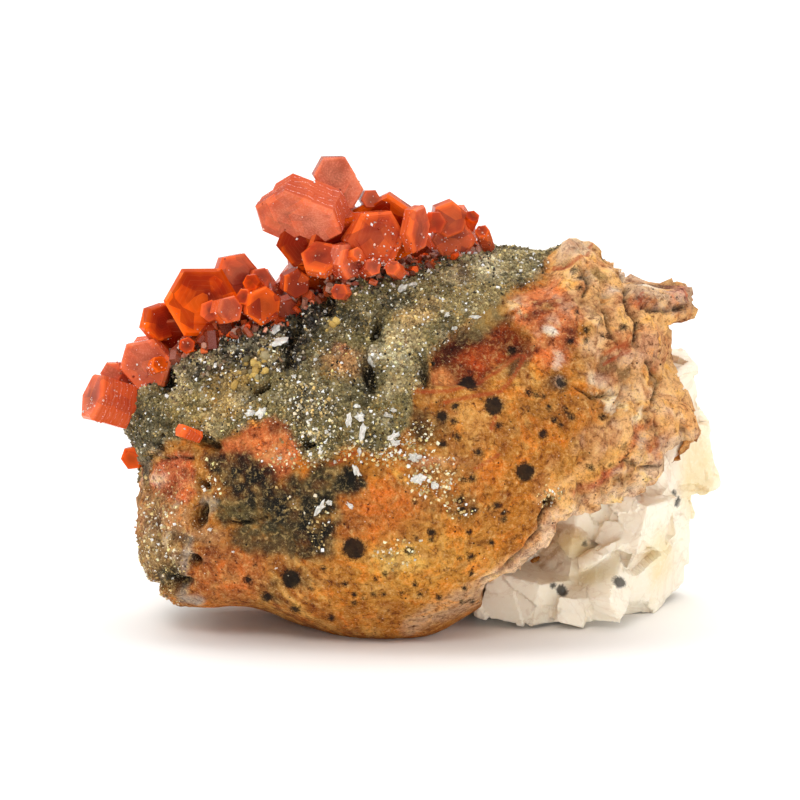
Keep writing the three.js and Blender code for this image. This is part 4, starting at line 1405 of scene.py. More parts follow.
@dataclass(frozen=True)
class GrainCoat:
    """Small grains scattered over the rock, all in one piece.

    Attributes:
        name: name of the piece.
        slot: the record's material slot.
        shape: which grain.
        count: how many.
        size: smallest and largest half size, mm.
        stretch: half sizes along the grain's own axes, for a size of 1.
        tilt: how far a grain may lean from the surface's normal, degrees.
        sunk: share of the half height that is below the surface.
        areas: where they sit, as dense as each mark is strong; no area means the whole crust.
        behind: weight of the side that faces away from the front.
        palette: colours that some grains take.
        own: share of the grains that take a palette colour instead of the ground's.
        swing: how much a grain's brightness differs from its neighbours'.
        seed: picks one scatter of many.
    """

    name: str
    slot: str
    shape: GrainShape
    count: int
    size: tuple[float, float]
    areas: tuple[Mark, ...] = ()
    stretch: tuple[float, float, float] = (1.0, 1.0, 1.0)
    tilt: float = 60.0
    sunk: float = 0.3
    behind: float = 1.0
    palette: tuple[str, ...] = ("f4ead6",)
    own: float = 0.2
    swing: float = 0.35
    seed: int = 1

    def weights(self, shell: Shell, centres: np.ndarray, corners: np.ndarray) -> np.ndarray:
        """How densely each face of the rock is coated.

        Args:
            shell: the rock.
            centres: F x 3 middles of its faces.
            corners: F x 3 corner numbers.

        Returns:
            F weights, without the faces' own areas.
        """
        places = face_plane(centres)
        wander = noise(centres, 1.2, self.seed + 3, 2)
        front = smoothstep(4.0, 0.0, centres[:, 1] - LEAN * (centres[:, 2] - LEAN_FROM))
        clear = 1.0 - PIT_BARE * shell.numbers["pit"][corners].mean(axis=1)
        if self.areas:
            base = np.sum([area.cover(places, wander) for area in self.areas], axis=0)
        else:
            base = shell.numbers["crust"][corners].mean(axis=1)
        return base * clear * (self.behind + (1.0 - self.behind) * front) * (centres[:, 2] > BARE_FOOT)

    def shell(self, rock: Shell) -> Shell:
        """Scatters the grains by area and weight, leans each one and sinks it a little.

        Args:
            rock: the surface that they sit on.

        Returns:
            All the grains as one shell.
        """
        random = np.random.default_rng(self.seed)
        corners = rock.triangles()
        a, b, c = (rock.points[corners[:, k]] for k in range(3))
        area = np.linalg.norm(np.cross(b - a, c - a), axis=1)
        weight = area * self.weights(rock, (a + b + c) / 3, corners)
        picked = random.choice(len(corners), self.count, p=weight / weight.sum())
        shares = random.dirichlet((1, 1, 1), self.count)[:, :, None]
        spots = (rock.points[corners[picked]] * shares).sum(axis=1)
        normals = (rock.normals()[corners[picked]] * shares).sum(axis=1)
        # The grains take the ground colour, painted shade of pits and crevices included.
        ground = (rock.colours["ground"][corners[picked]] * shares).sum(axis=1)
        lean = random.normal(size=(self.count, 3)) * math.tan(math.radians(self.tilt)) * 0.5
        up = normals + lean
        up /= np.linalg.norm(up, axis=1, keepdims=True)
        side = np.cross(up, random.normal(size=(self.count, 3)))
        side /= np.linalg.norm(side, axis=1, keepdims=True)
        low, high = self.size
        size = low + (high - low) * random.random(self.count) ** 2.2
        scale = size[:, None] * np.array(self.stretch) * random.uniform(0.7, 1.35, (self.count, 3))
        points, faces = grain_template(self.shape)
        own = points[None] * scale[:, None]
        set_down = own[..., :1] * side[:, None] + own[..., 1:2] * np.cross(up, side)[:, None]
        set_down += own[..., 2:] * up[:, None]
        lift = (1 - self.sunk) * scale[:, 2:] * 0.6
        set_down += (spots + normals * lift)[:, None]
        set_down[..., 2] = np.maximum(set_down[..., 2], FLOOR + 0.02)
        palette = np.array([linear(colour) for colour in self.palette])
        chosen = palette[random.integers(len(palette), size=self.count)]
        tone = np.where((random.random(self.count) < self.own)[:, None], chosen, ground)
        tone[:, :3] *= np.exp(random.normal(size=(self.count, 1)) * self.swing)
        number = (np.arange(self.count) * len(points))[:, None, None]
        grains = Shell(set_down.reshape(-1, 3), (faces[None] + number).reshape(-1, 3))
        grains.colours["tone"] = np.repeat(np.clip(tone, 0.004, 0.95), len(points), axis=0)
        return grains

    def build(self, rock: Shell, finish: bpy.types.Material) -> bpy.types.Object:
        """Makes and dresses the coat.

        Args:
            rock: the surface that it sits on.
            finish: its material.

        Returns:
            The piece.
        """
        piece = self.shell(rock).build(self.name, smooth=self.shape is GrainShape.BEAD)
        fitted(piece, finish, [])
        return piece


GLINTS = ("fffdf8", "fff6e4", "e6dcc4", "2c2619", "1c1811", "c9b070")
CREAMS = ("f6e7c8", "e9d3a2", "d8bb7e", "fdf6e8", "cbb27a", "b99a5e")
COATS = (
    GrainCoat(
        "druse_sparkle", "druse", GrainShape.SHARD, 22000, (.035, .15), own=.18, palette=GLINTS, behind=.25,
        swing=.4, seed=211,
    ),
    GrainCoat(
        "druse_bed", "druse", GrainShape.SHARD, 22000, (.07, .19), own=.09, palette=GLINTS, behind=1.0,
        swing=.34, seed=223,
    ),
    GrainCoat(
        "dark_sparkle", "druse", GrainShape.SHARD, 7000, (.07, .22), own=.55, swing=.5, seed=227,
        palette=("fff8ee", "8c7a60", "3b3024", "5c4632", "1d1812", "b7a58a"),
        areas=(
            Mark(edge=.6, outline=(
                (-19.4, 20.4), (-16, 22), (-13, 23.6), (-10, 24.6), (-8, 27), (-5, 27), (-1, 28.2), (3, 29),
                (7.6, 30.8), (7.4, 29), (3, 28), (-1, 26.6), (-5.4, 25), (-7, 22), (-8, 19.8), (-12, 20),
                (-15, 18.6), (-18.6, 18),
            )),
        ),
    ),
    GrainCoat(
        "crumbs", "druse", GrainShape.SHARD, 6000, (.05, .19), own=.75, swing=.3, seed=229, palette=CREAMS,
        areas=(
            Mark("", (-6.8, 17.4), (2.2, 2), edge=.8),
            Mark("", (-6.6, 14), (1.3, 1.4), edge=.6, strength=1.2),
            Mark("", (-4.2, 14.4), (2.6, 1.5), edge=.8, strength=.5),
            Mark("", (-.6, 13.6), (1.8, 1), edge=.5, strength=1.6),
            Mark("", (2.6, 11.6), (1.9, 1.7), edge=.6, strength=1.1),
            Mark("", (1.6, 14.8), (1.3, 1.3), edge=.5, strength=.9),
            Mark("", (-5.9, 7.9), (1.2, 1.9), edge=.6, strength=.35),
            Mark("", (-14.6, 11.4), (.9, 1.2), edge=.5, strength=.5),
            Mark("", (-8.6, 9.8), (1.6, 1), edge=.6, strength=.1),
            Mark("", (-13.4, 17.1), (2.6, 1.2), edge=.6, strength=.6),
            Mark("", (.2, 5.6), (1.7, 1), edge=.5, strength=.5),
            Mark("", (-9, 13.2), (1.4, 1.2), edge=.6, strength=.5),
            Mark("", (-18.6, 6), (2, 5), edge=.8, strength=.35),
            Mark("", (4.9, 9.2), (1, .9), edge=.4, strength=.8),
            Mark("", (11.7, 10), (1, .9), edge=.4, strength=.8),
        ),
    ),
    GrainCoat(
        "sprouts", "vanadinite", GrainShape.PRISM, 300, (.3, .8), own=1.0, swing=.28, seed=257,
        stretch=(.8, .8, .9), tilt=80, sunk=.25, behind=.3,
        palette=("a33a12", "7a2a10", "c4562e", "b86a52", "5a2412", "8c4a34"),
        areas=(
            Mark(
                path=(
                    (-20.6, 20), (-17.4, 21.4), (-14, 23), (-10, 24.6), (-7.6, 26.4), (-3.6, 27.8),
                    (0, 28.9), (3.4, 30),
                ),
                width=.3, edge=.6,
            ),
        ),
    ),
    GrainCoat(
        "seedlings", "vanadinite", GrainShape.PRISM, 1900, (.08, .4), own=1.0, swing=.3, seed=233,
        stretch=(.8, .8, 1.0), tilt=70, sunk=.1, behind=.4,
        palette=("b4532a", "c98a72", "8c3a1c", "d9a58f", "6d3620", "cf4a12"),
        areas=(
            Mark(
                path=(
                    (-20.6, 19.8), (-17.4, 21.2), (-14, 22.9), (-10, 24.1), (-7.2, 25.8), (-3, 27.6),
                    (1, 28.6), (4, 29.6), (7, 30.8),
                ),
                width=.5, edge=.7,
            ),
        ),
    ),
    GrainCoat(
        "mustard_beads", "botryoid", GrainShape.BEAD, 44, (.16, .4), own=.7, swing=.12, seed=239, tilt=10,
        sunk=.5, behind=0.0, palette=("b8954c", "a58646", "c7a65a"),
        areas=(
            Mark("", (-11, 20.4), (.9, 1.2), edge=.4), Mark("", (-12.3, 19), (1, .7), edge=.4, strength=.5),
            Mark("", (-4.9, 23.6), (.7, .6), edge=.3, strength=.5),
        ),
    ),
)


# Dust on the crystals; its whitest grains are painted glints.
DUST_AND_GLINTS = GrainCoat(
    "crystal_dust_and_glints", "vanadinite", GrainShape.SHARD, 2600, (.03, .13), own=.9, swing=.25, seed=263, sunk=.2,
    palette=("f8ece4", "ecc0ae", "dc9480", "fff8f2", "c8644c", "9c3c24"), behind=.3,
    areas=(
        Mark("", (-1.1, 30.6), (.9, 1.9), edge=.5, ragged=.6),
        Mark(path=((-7.4, 27.2), (-3, 28.4), (2, 29.8), (6, 30.8)), width=.6, edge=.6, ragged=.5),
        Mark(
            path=((-21, 19.4), (-17, 22.2), (-13, 23.4), (-9, 24.6)), width=.7, edge=.7, ragged=.5,
            strength=.8,
        ),
        Mark("", (-20.6, 20.6), (1.6, .8), edge=.6, ragged=.5, strength=.5),
        Mark("", (-23, 17), (1.6, .6), edge=.4, ragged=.5, strength=.8),
        Mark("", (-8, 27), (26, 14), strength=.035),
    ),
)


def skin_of(pieces: Sequence[bpy.types.Object], ground: str) -> Shell:
    """The surfaces of some pieces as one shell that a coat can sit on.

    Args:
        pieces: finished pieces at the origin.
        ground: hex colour of the surface.

    Returns:
        The shell, its corners three to a face.
    """
    points, faces, count = [], [], 0
    for piece in pieces:
        mesh = piece.data
        mesh.calc_loop_triangles()
        points.append(from_model(read(mesh.vertices, "co", 3)))
        faces.append(read(mesh.loop_triangles, "vertices", 3, np.int32) + count)
        count += len(mesh.vertices)
    shell = Shell(np.concatenate(points), np.concatenate(faces))
    shell.numbers = {"pit": np.zeros(count), "crust": np.ones(count)}
    shell.colours = {"ground": np.tile(linear(ground), (count, 1))}
    return shell


@dataclass(frozen=True)
class Flake:
    """A thin pale plate lying on the rock: its place on the face plane, half sizes, turn and greyness."""

    at: tuple[float, float]
    reach: tuple[float, float]
    turn: float = 0.0
    grey: float = 0.0


@dataclass
class Flakes:
    """The white and grey flakes that are stuck to the crust.

    Attributes:
        thickness: half thickness of a flake, mm.
        corners: how many corners a flake's ragged outline has.
        layout: the flakes.
    """

    thickness: float = 0.11
    corners: int = 14
    layout: tuple[Flake, ...] = (
        Flake((-9.2, 22.2), (.8, 1), -8), Flake((-9.5, 23.2), (.55, .5), 30),
        Flake((-14.3, 22.2), (.8, .32), 32), Flake((-19.4, 20.2), (.45, .12), -32),
        Flake((-12, 24.3), (.45, .2), -40), Flake((-11.4, 24.1), (.35, .2), 20),
        Flake((-11.4, 16.7), (.42, .36), 10), Flake((-10.5, 16.7), (.5, .36), 45),
        Flake((-3.8, 16.1), (.3, .55), -5), Flake((-3, 16.4), (.42, .42)),
        Flake((-3.2, 17.1), (.35, .22), 20), Flake((-2.6, 15), (.3, 1), -6),
        Flake((-2.8, 13.9), (.2, .45)), Flake((-.4, 14.7), (.65, .25), 25),
        Flake((-.2, 14.3), (.5, .3), -10), Flake((-3.1, 12.1), (.28, .6), 25),
        Flake((-5.9, 9.3), (.28, .7), -32), Flake((-5.4, 9.6), (.3, .3)),
        Flake((-3.6, 9.4), (.2, .42), 40), Flake((-2, 20.8), (.5, .42), 0, .5),
        Flake((1.1, 26.8), (.5, .3), 20, .4), Flake((.2, 26.5), (.5, .35), 35, .4),
        Flake((1.5, 11.4), (.6, .5), 35), Flake((2.8, 11), (.3, .3), 0, .2),
        Flake((1.3, 13.1), (.5, .35), 0, .3), Flake((5.9, 24.3), (.55, .16), -14, .2),
        Flake((-8, 19.5), (.22, .2)), Flake((-5.9, 24.6), (.16, .3), 10),
        Flake((-.9, 16.5), (.35, .2), -20, .5), Flake((-5.5, 15.3), (.2, .15), 0, .2),
        Flake((3.8, 24.3), (.3, .25), 0, .4), Flake((4.2, 23.5), (.25, .25), 0, .4),
        Flake((-.3, 16.9), (.25, .2), 0, .4), Flake((-12.8, 5.8), (.14, .08)),
        Flake((-9.3, 4.4), (.14, .08), 20), Flake((-14.5, 7.5), (.2, .14), 20),
    )

    def shell(self, rock: Shell) -> Shell:
        """Lays each flake on the nearest place of the rock's front: a domed disc with a ragged rim.

        A flake is a lens: its rim radius wavers with the angle, and its two skins meet at the rim.

        Args:
            rock: the surface that they lie on.

        Returns:
            All the flakes as one shell.
        """
        random = np.random.default_rng(251)
        normals = rock.normals()
        facing = np.flatnonzero(normals[:, 1] < -0.05)
        places = face_plane(rock.points)[facing]
        angle = np.linspace(0, 2 * math.pi, self.corners, endpoint=False)
        ring = np.arange(self.corners)
        after = (ring + 1) % self.corners
        points, faces, tones = [], [], []
        for flake in self.layout:
            nearest = facing[np.argmin(np.linalg.norm(places - flake.at, axis=1))]
            up = normals[nearest] + random.normal(size=3) * 0.18
            up /= np.linalg.norm(up)
            spin = math.radians(flake.turn)
            side = np.array([math.cos(spin), 0, math.sin(spin)])
            side -= up * (side @ up)
            side /= np.linalg.norm(side)
            top = np.cross(side, up) * (1 if np.cross(side, up)[2] * math.cos(spin) >= 0 else -1)
            ragged = random.uniform(0.55, 1.25, self.corners)
            levels = ((0.0, 1.0), (0.55, 0.75), (1.0, 0.0), (0.55, -0.9), (0.0, -1.0))
            start = sum(len(block) for block in points)
            block = []
            for share, height in levels:
                radius = share * ragged
                rise = height * self.thickness * (1 + 0.9 * random.normal(size=self.corners) * share)
                block.append(
                    np.outer(flake.reach[0] * radius * np.cos(angle), side)
                    + np.outer(flake.reach[1] * radius * np.sin(angle), top) + np.outer(rise, up)
                )
            block[0][:] = block[0].mean(axis=0)
            block[-1][:] = block[-1].mean(axis=0)
            points.append(np.concatenate(block) + rock.points[nearest] + normals[nearest] * 0.2)
            flip = np.cross(side, top) @ up < 0
            for level in range(len(levels) - 1):
                low, high = start + level * self.corners, start + (level + 1) * self.corners
                quads = np.stack([low + ring, high + ring, high + after, low + after], axis=1)
                faces.append(quads[:, ::-1] if flip else quads)
            white = np.array(linear("f4efe6")) * (1 - flake.grey) + np.array(linear("a9a18c")) * flake.grey
            tones.append(white * random.uniform(0.55, 1.0, (self.corners * len(levels), 1)))
        shell = Shell(np.concatenate(points), np.concatenate(faces))
        shell.colours["tone"] = np.concatenate(tones)
        return shell

    def build(self, rock: Shell) -> bpy.types.Object:
        """Makes and dresses the flakes, with the corners that meet in the middles merged.

        Args:
            rock: the surface that they lie on.

        Returns:
            The piece.
        """
        piece = welded(self.shell(rock).build("pale_flakes", smooth=False), 1e-7)
        fitted(piece, GrainFinish("pale_flake", 0.3, 0.3).build(), [])
        return piece


# ---------------------------------------------------------------------------------------- vanadinite
Row = tuple[float, float, float, float, float, float, float, float]
EDGE_WIDTH = 0.035  # mm, width of the worn edge between two crystal faces
EDGE_ANGLE = 28  # degrees between two faces from which their edge is worn
CRYSTAL_TONE = "c8785c"  # colour that grains on the crystals take from them


@dataclass(frozen=True)
class Look:
    """How one crystal differs: depth of its core, brightness of its rim, frosting and painted sheen on its
    faces (0 to 1).
    """

    deep: float
    bright: float
    frost_and_sheen: float


@dataclass
class Crystal:
    """A tabular six-sided crystal that grew towards `axis` from its root.

    Attributes:
        end: middle of its flat end, mm.
        radius: from the axis to a corner, mm.
        length: how far it runs back, mm.
        turns: yaw, pitch and roll of the flat end, degrees.
        look: its colouring.
        seed: picks its own irregularities.
    """

    end: np.ndarray
    radius: float
    length: float
    turns: tuple[float, float, float]
    look: Look
    seed: int
    bevel: float = 0.1  # share of the radius taken by the pyramid faces

    @classmethod
    def of(cls, row: Row, look: Look, seed: int) -> "Crystal":
        """A crystal from a row: x, y, z, radius, length, yaw, pitch and roll."""
        return cls(np.array(row[:3]), row[3], row[4], row[5:], look, seed)

    def axes(self) -> np.ndarray:
        """Rows: towards corner 0, at right angles to it in the flat end, and out of the flat end."""
        yaw, pitch, roll = np.radians(self.turns)
        out = np.array([math.sin(yaw) * math.cos(pitch), -math.cos(yaw) * math.cos(pitch), math.sin(pitch)])
        level = np.array([math.cos(yaw), math.sin(yaw), 0.0])
        up = np.array([-math.sin(yaw) * math.sin(pitch), math.cos(yaw) * math.sin(pitch), math.cos(pitch)])
        corner = level * math.cos(roll) + up * math.sin(roll)
        return np.stack([corner, up * math.cos(roll) - level * math.sin(roll), out])

    def hexagon(self, random: np.random.Generator) -> np.ndarray:
        """Corners of a slightly unequal hexagon: six sides near the same distance, met in pairs.

        Args:
            random: source of the small differences.

        Returns:
            6 x 2 places across the axis, mm.
        """
        angle = np.radians(60.0 * np.arange(6) + 30.0)
        distance = self.radius * math.cos(math.pi / 6) * random.uniform(0.965, 1.03, 6)
        corners = []
        for k in range(6):
            pair = [(k - 1) % 6, k]
            lines = np.stack([np.cos(angle[pair]), np.sin(angle[pair])], axis=1)
            corners.append(np.linalg.solve(lines, distance[pair]))
        return np.array(corners)

    def shell(self) -> Shell:
        """Rings of the hexagon from the root to the end: growth steps on the sides, plates on the face.

        Returns:
            The closed shape, with its faces pointing out.
        """
        random = np.random.default_rng(self.seed)
        corners = self.hexagon(random)
        bevel = self.bevel * self.radius
        step = min(0.05, 0.02 * self.radius)
        waist = -self.length * random.uniform(0.35, 0.65)
        plate = random.uniform(0.5, 0.8)
        drift = random.normal(size=2) * self.radius * 0.09
        plain = self.radius < 1.2 or random.random() < 0.7
        rings = [(0.97, -self.length, 0), (0.97, waist, 0), (1.0, waist + step, 0), (1.0, -bevel, 0)]
        rings.append((1.0 - self.bevel, 0.0 if plain else -step, 0))
        if not plain:
            rings += [(plate + 0.03, -step, 1), (plate, 0.0, 1)]
        rings = [(0.0, -self.length, 0)] + rings + [(0.0, rings[-1][1], rings[-1][2])]
        local = np.concatenate([
            np.column_stack([corners * share + drift * moved, np.full(6, height)])
            for share, height, moved in rings
        ])
        ring = np.arange(6)
        after = (ring + 1) % 6
        quads = np.concatenate([
            np.stack([6 * k + ring, 6 * k + after, 6 * k + 6 + after, 6 * k + 6 + ring], axis=1)
            for k in range(len(rings) - 1)
        ])
        return Shell(local @ self.axes() + self.end, quads)

    def across(self, points: np.ndarray) -> np.ndarray:
        """Places on the crystal, N x 3: two across in radii, and mm in front of its flat end."""
        local = (points - self.end) @ self.axes().T
        return local / np.array([self.radius, self.radius, 1.0])

    def surface_distance(self, points: np.ndarray) -> np.ndarray:
        """Distance to the crystal's planes: the largest of the hexagon's, the end's and the root's.

        Args:
            points: N x 3 places in mm.

        Returns:
            N distances, negative inside.
        """
        x, y, out = self.across(points).T
        hexagon = np.maximum.reduce([abs(y), abs(x * SINE + y * COSINE), abs(x * SINE - y * COSINE)])
        return np.maximum.reduce([(hexagon - SINE) * self.radius, out, -self.length - out])


@dataclass
class Cluster:
    """A group of crystals that have grown together.

    Attributes:
        name: the CAD node that it stands for.
        rows: its crystals.
        looks: colouring of the crystals that stand out, by their number in the table.
        seed: picks its own irregularities.
    """

    name: str
    rows: tuple[Row, ...]
    looks: dict[int, Look] = field(default_factory=dict)
    seed: int = 1

    def crystals(self) -> list[Crystal]:
        """The crystals, each with its own look and seed."""
        random = np.random.default_rng(self.seed)
        made = []
        for number, row in enumerate(self.rows):
            usual = Look(random.uniform(0.1, 0.6), random.uniform(0.3, 0.9), random.uniform(0.0, 0.55))
            made.append(Crystal.of(row, self.looks.get(number, usual), self.seed * 100 + number))
        return made

    def mark_faces(self, mesh: bpy.types.Mesh, crystals: Sequence[Crystal]) -> None:
        """Stores on each face corner its place on the crystal whose surface it is, and that one's look.

        Args:
            mesh: the grown-together solid, in metres.
            crystals: what it was made of.
        """
        points = from_model(read(mesh.vertices, "co", 3))
        centres = from_model(read(mesh.polygons, "center", 3))
        owner = np.argmin([abs(crystal.surface_distance(centres)) for crystal in crystals], axis=0)
        loop_owner = np.repeat(owner, read(mesh.polygons, "loop_total", 1, np.int32).ravel())
        vertex = read(mesh.loops, "vertex_index", 1, np.int32).ravel()
        across = np.stack([crystal.across(points) for crystal in crystals])[loop_owner, vertex]
        looks = np.array([(c.look.deep, c.look.bright, c.look.frost_and_sheen, 1.0) for c in crystals])[loop_owner]
        mesh.attributes.new("across", "FLOAT_VECTOR", "CORNER").data.foreach_set("vector", across.ravel())
        mesh.attributes.new("tone", "FLOAT_COLOR", "CORNER").data.foreach_set("color", looks.ravel())

    def build(self, finish: bpy.types.Material) -> bpy.types.Object:
        """Makes the crystals, grows them together and dresses them.

        Args:
            finish: the crystals' material.

        Returns:
            The piece.
        """
        crystals = self.crystals()
        parts = []
        for number, crystal in enumerate(crystals):
            parts.append(welded(crystal.shell().build(f"{self.name}_{number}", smooth=False)))
        piece = joined(f"{self.name}_crystals", parts)
        self.mark_faces(piece.data, crystals)
        edges = piece.modifiers.new("edges", "BEVEL")
        edges.width = EDGE_WIDTH * METRES
        edges.segments = 1
        edges.limit_method = "ANGLE"
        edges.angle_limit = math.radians(EDGE_ANGLE)
        fitted(piece, finish, [self.name])
        return piece


CLUSTERS = (
    Cluster("vanadinite_crest", (
        (-8.3, -3.5, 33.2, 2.25, 2.4, -22, -34, -24.5), (-6.6, -3.8, 32.5, 2.3, 2.7, -22, -34, -24.5),
        (-9.1, -2.7, 32.6, 2.3, 1.6, -20, -25, -24.5), (-4.9, -1.5, 35.9, 1.7, 1.8, 8, 4, 0),
        (-4.5, -1.5, 34.8, 1.85, 1.8, 8, 4, 0), (-7.3, -2.4, 30.8, 2.3, 2.4, -4, -4, 8),
        (-6.1, -4.2, 30.1, 1.55, 1.1, -10, 42, -10), (-3.4, -4.2, 29.7, 1.6, 1.4, 50, 4, 4),
        (-1.5, -3.6, 31.2, 2.5, 2.0, 26, 4, 0), (-1.1, -1.2, 31.5, 3.0, 2.2, -6, 2, 26),
        (1.8, -1.8, 31.7, 2.0, .95, 66, 0, 2), (-2.1, -1.0, 34.0, .8, 1.6, 10, 10, 0),
        (-1.9, -4.6, 29.3, .75, 1.6, 30, 20, 10), (-.5, -4.4, 29.2, .65, 1.6, -24, 26, 0),
        (-3.1, -5.0, 30.4, .55, 1.4, 40, 20, 14), (-7.9, -3.0, 27.6, 1.15, 1.8, 14, 4, 24),
        (-4.6, -5.6, 27.5, .7, 2.4, -20, 16, 0), (-4.4, -2.8, 30.2, 2.9, 4.4, 6, -10, 14),
        (-3.6, -1.2, 27.8, 2.6, 4.6, -8, -18, 0), (-6.8, -1.6, 27.6, 1.8, 4.4, 4, -20, 10),
    ), {0: Look(.1, .7, .68), 1: Look(.2, .7, .72), 2: Look(.1, .8, .6), 3: Look(.2, .7, .75),
        4: Look(.2, .7, .75), 5: Look(.8, .7, 0), 6: Look(.2, .9, .2), 7: Look(.3, .7, .5),
        8: Look(.4, .7, .2), 9: Look(.7, .9, 0), 10: Look(0, 1, .45), 15: Look(.7, .6, .1),
        17: Look(.9, .5, 0), 18: Look(.9, .4, 0), 19: Look(.9, .4, 0)}, 3),
    Cluster("vanadinite_brow", (
        (4.1, .2, 32.1, 1.5, 1.6, 10, 0, 20), (2.8, -.2, 32.0, .95, 1.4, -18, 10, 5),
        (5.9, .4, 32.4, .6, 2.6, 20, 42, 5), (6.6, 0.0, 31.3, .6, 2.8, -14, 40, 12),
        (4.4, .8, 30.4, 1.8, 3.6, 0, -14, 0),
    ), {}, 5),
    Cluster("vanadinite_shoulder", (
        (-15.3, -2.4, 26.1, 3.05, 1.8, 2, 12, 0), (-12.6, -1.0, 27.9, 1.8, 1.7, 16, 8, 8),
        (-10.7, -1.2, 27.7, .95, 1.6, 25, 14, 4), (-18.5, -1.4, 24.2, 1.6, 1.1, 36, 6, 10),
        (-10.4, -3.8, 26.0, 1.55, 1.5, 22, 6, 20), (-13.0, -4.0, 25.8, 1.15, 1.5, 34, 14, 6),
        (-12.1, -3.4, 26.7, .7, 1.4, -30, 20, 4), (-11.5, -2.8, 27.7, .75, 1.4, -20, 24, 8),
        (-14.7, -3.2, 25.5, .9, 1.2, -14, 18, 26), (-8.6, -2.2, 25.1, 1.2, 2.2, 10, 0, 16),
        (-16.5, -3.4, 22.8, .7, 1.6, 5, 10, 22), (-14.4, -1.0, 24.4, 2.7, 4.4, 0, -14, 10),
        (-11.0, -1.6, 25.0, 2.2, 4.2, 6, -16, 0), (-17.2, -1.0, 22.8, 1.9, 3.8, -6, -14, 4),
    ), {0: Look(.25, 1, 0), 1: Look(.2, .6, .35), 3: Look(.4, .9, .05), 4: Look(.3, .9, .1),
        9: Look(.6, .6, .3), 11: Look(.8, .5, 0), 12: Look(.9, .4, 0), 13: Look(.8, .5, 0)}, 7),
    Cluster("vanadinite_slope", (
        (-19.9, -2.4, 21.0, 2.25, 1.4, -18, 2, 14), (-22.6, -.8, 20.0, .95, 1.8, -12, 8, 0),
        (-18.6, -3.8, 21.4, .7, 1.6, 20, 20, 10), (-24.1, -2.8, 18.6, 2.05, 3.2, -68, 20, 8),
        (-20.3, -1.2, 19.8, 2.1, 4.0, -14, -14, 10),
    ), {0: Look(.2, .8, .55), 1: Look(.1, .8, .6), 3: Look(.1, .8, .55)}, 9),
    Cluster("vanadinite_edge", ((-21.1, -.6, 13.1, 1.0, 2.6, -20, 4, 10),), {0: Look(0, 1, .1)}, 11),
    Cluster("vanadinite_niche", ((-17.0, -8.7, 17.2, .55, 2.0, -58, 24, 10),), {0: Look(.1, 1.0, .3)}, 13),
    Cluster("vanadinite_rear_crest", (
        (-4.6, 6.2, 28.6, 2.3, 3.2, 170, 34, 12), (-1.0, 6.4, 28.8, 1.9, 3.4, 196, 22, 0),
        (-7.4, 5.6, 27.0, 1.6, 3.2, 150, 30, 20), (1.9, 6.4, 29.4, 1.3, 3.2, 160, 40, 8),
        (-3.0, 7.6, 26.4, 1.5, 3.4, 186, 10, 24),
    ), {}, 15),
    Cluster("vanadinite_rear_shoulder", (
        (-14.4, 5.4, 23.6, 2.2, 3.4, 176, 38, 6), (-11.6, 6.2, 23.8, 1.5, 3.4, 200, 26, 14),
        (-17.0, 4.8, 21.6, 1.6, 3.4, 150, 30, 0), (-13.4, 7.2, 21.6, 1.3, 3.2, 182, 16, 20),
    ), {}, 17),
    Cluster("vanadinite_rear_slope", (
        (-19.4, 5.6, 16.8, 1.5, 3.0, 220, 20, 12), (-18.6, 7.2, 14.6, 1.1, 3.0, 200, 10, 0),
    ), {}, 19),
)


# -------------------------------------------------------------------------------------------- barite
@dataclass(frozen=True)
class Blade:
    """A tapered block of barite: middle, half sizes, turns, number of sides and width of its far end."""

    at: tuple[float, float, float]
    half: tuple[float, float, float]
    turns: tuple[float, float, float]
    sides: int
    taper: float

    def shell(self, shear: float) -> Shell:
        """A prism whose far end is narrower, sheared along X, turned, and cut off at the floor.

        Args:
            shear: how far X moves for each mm of Y.

        Returns:
            The closed shape.
        """
        angle = np.arange(self.sides) * 2 * math.pi / self.sides
        ring = np.column_stack([np.sin(angle), -np.cos(angle)])
        levels = ((0.0, -1.0), (1.0, -1.0), (self.taper, 1.0), (0.0, 1.0))
        points = np.concatenate([
            np.column_stack([ring * share, np.full(self.sides, height)]) for share, height in levels
        ]) * self.half
        points[:, 0] += shear * points[:, 1]
        points = points @ turned(self.turns).T + self.at
        points[:, 2] = np.maximum(points[:, 2], FLOOR)
        low = np.arange(self.sides)
        after = (low + 1) % self.sides
        band = np.stack([low, after, after + self.sides, low + self.sides], axis=1)
        quads = np.concatenate([band + k * self.sides for k in range(len(levels) - 1)])
        return Shell(points, quads)


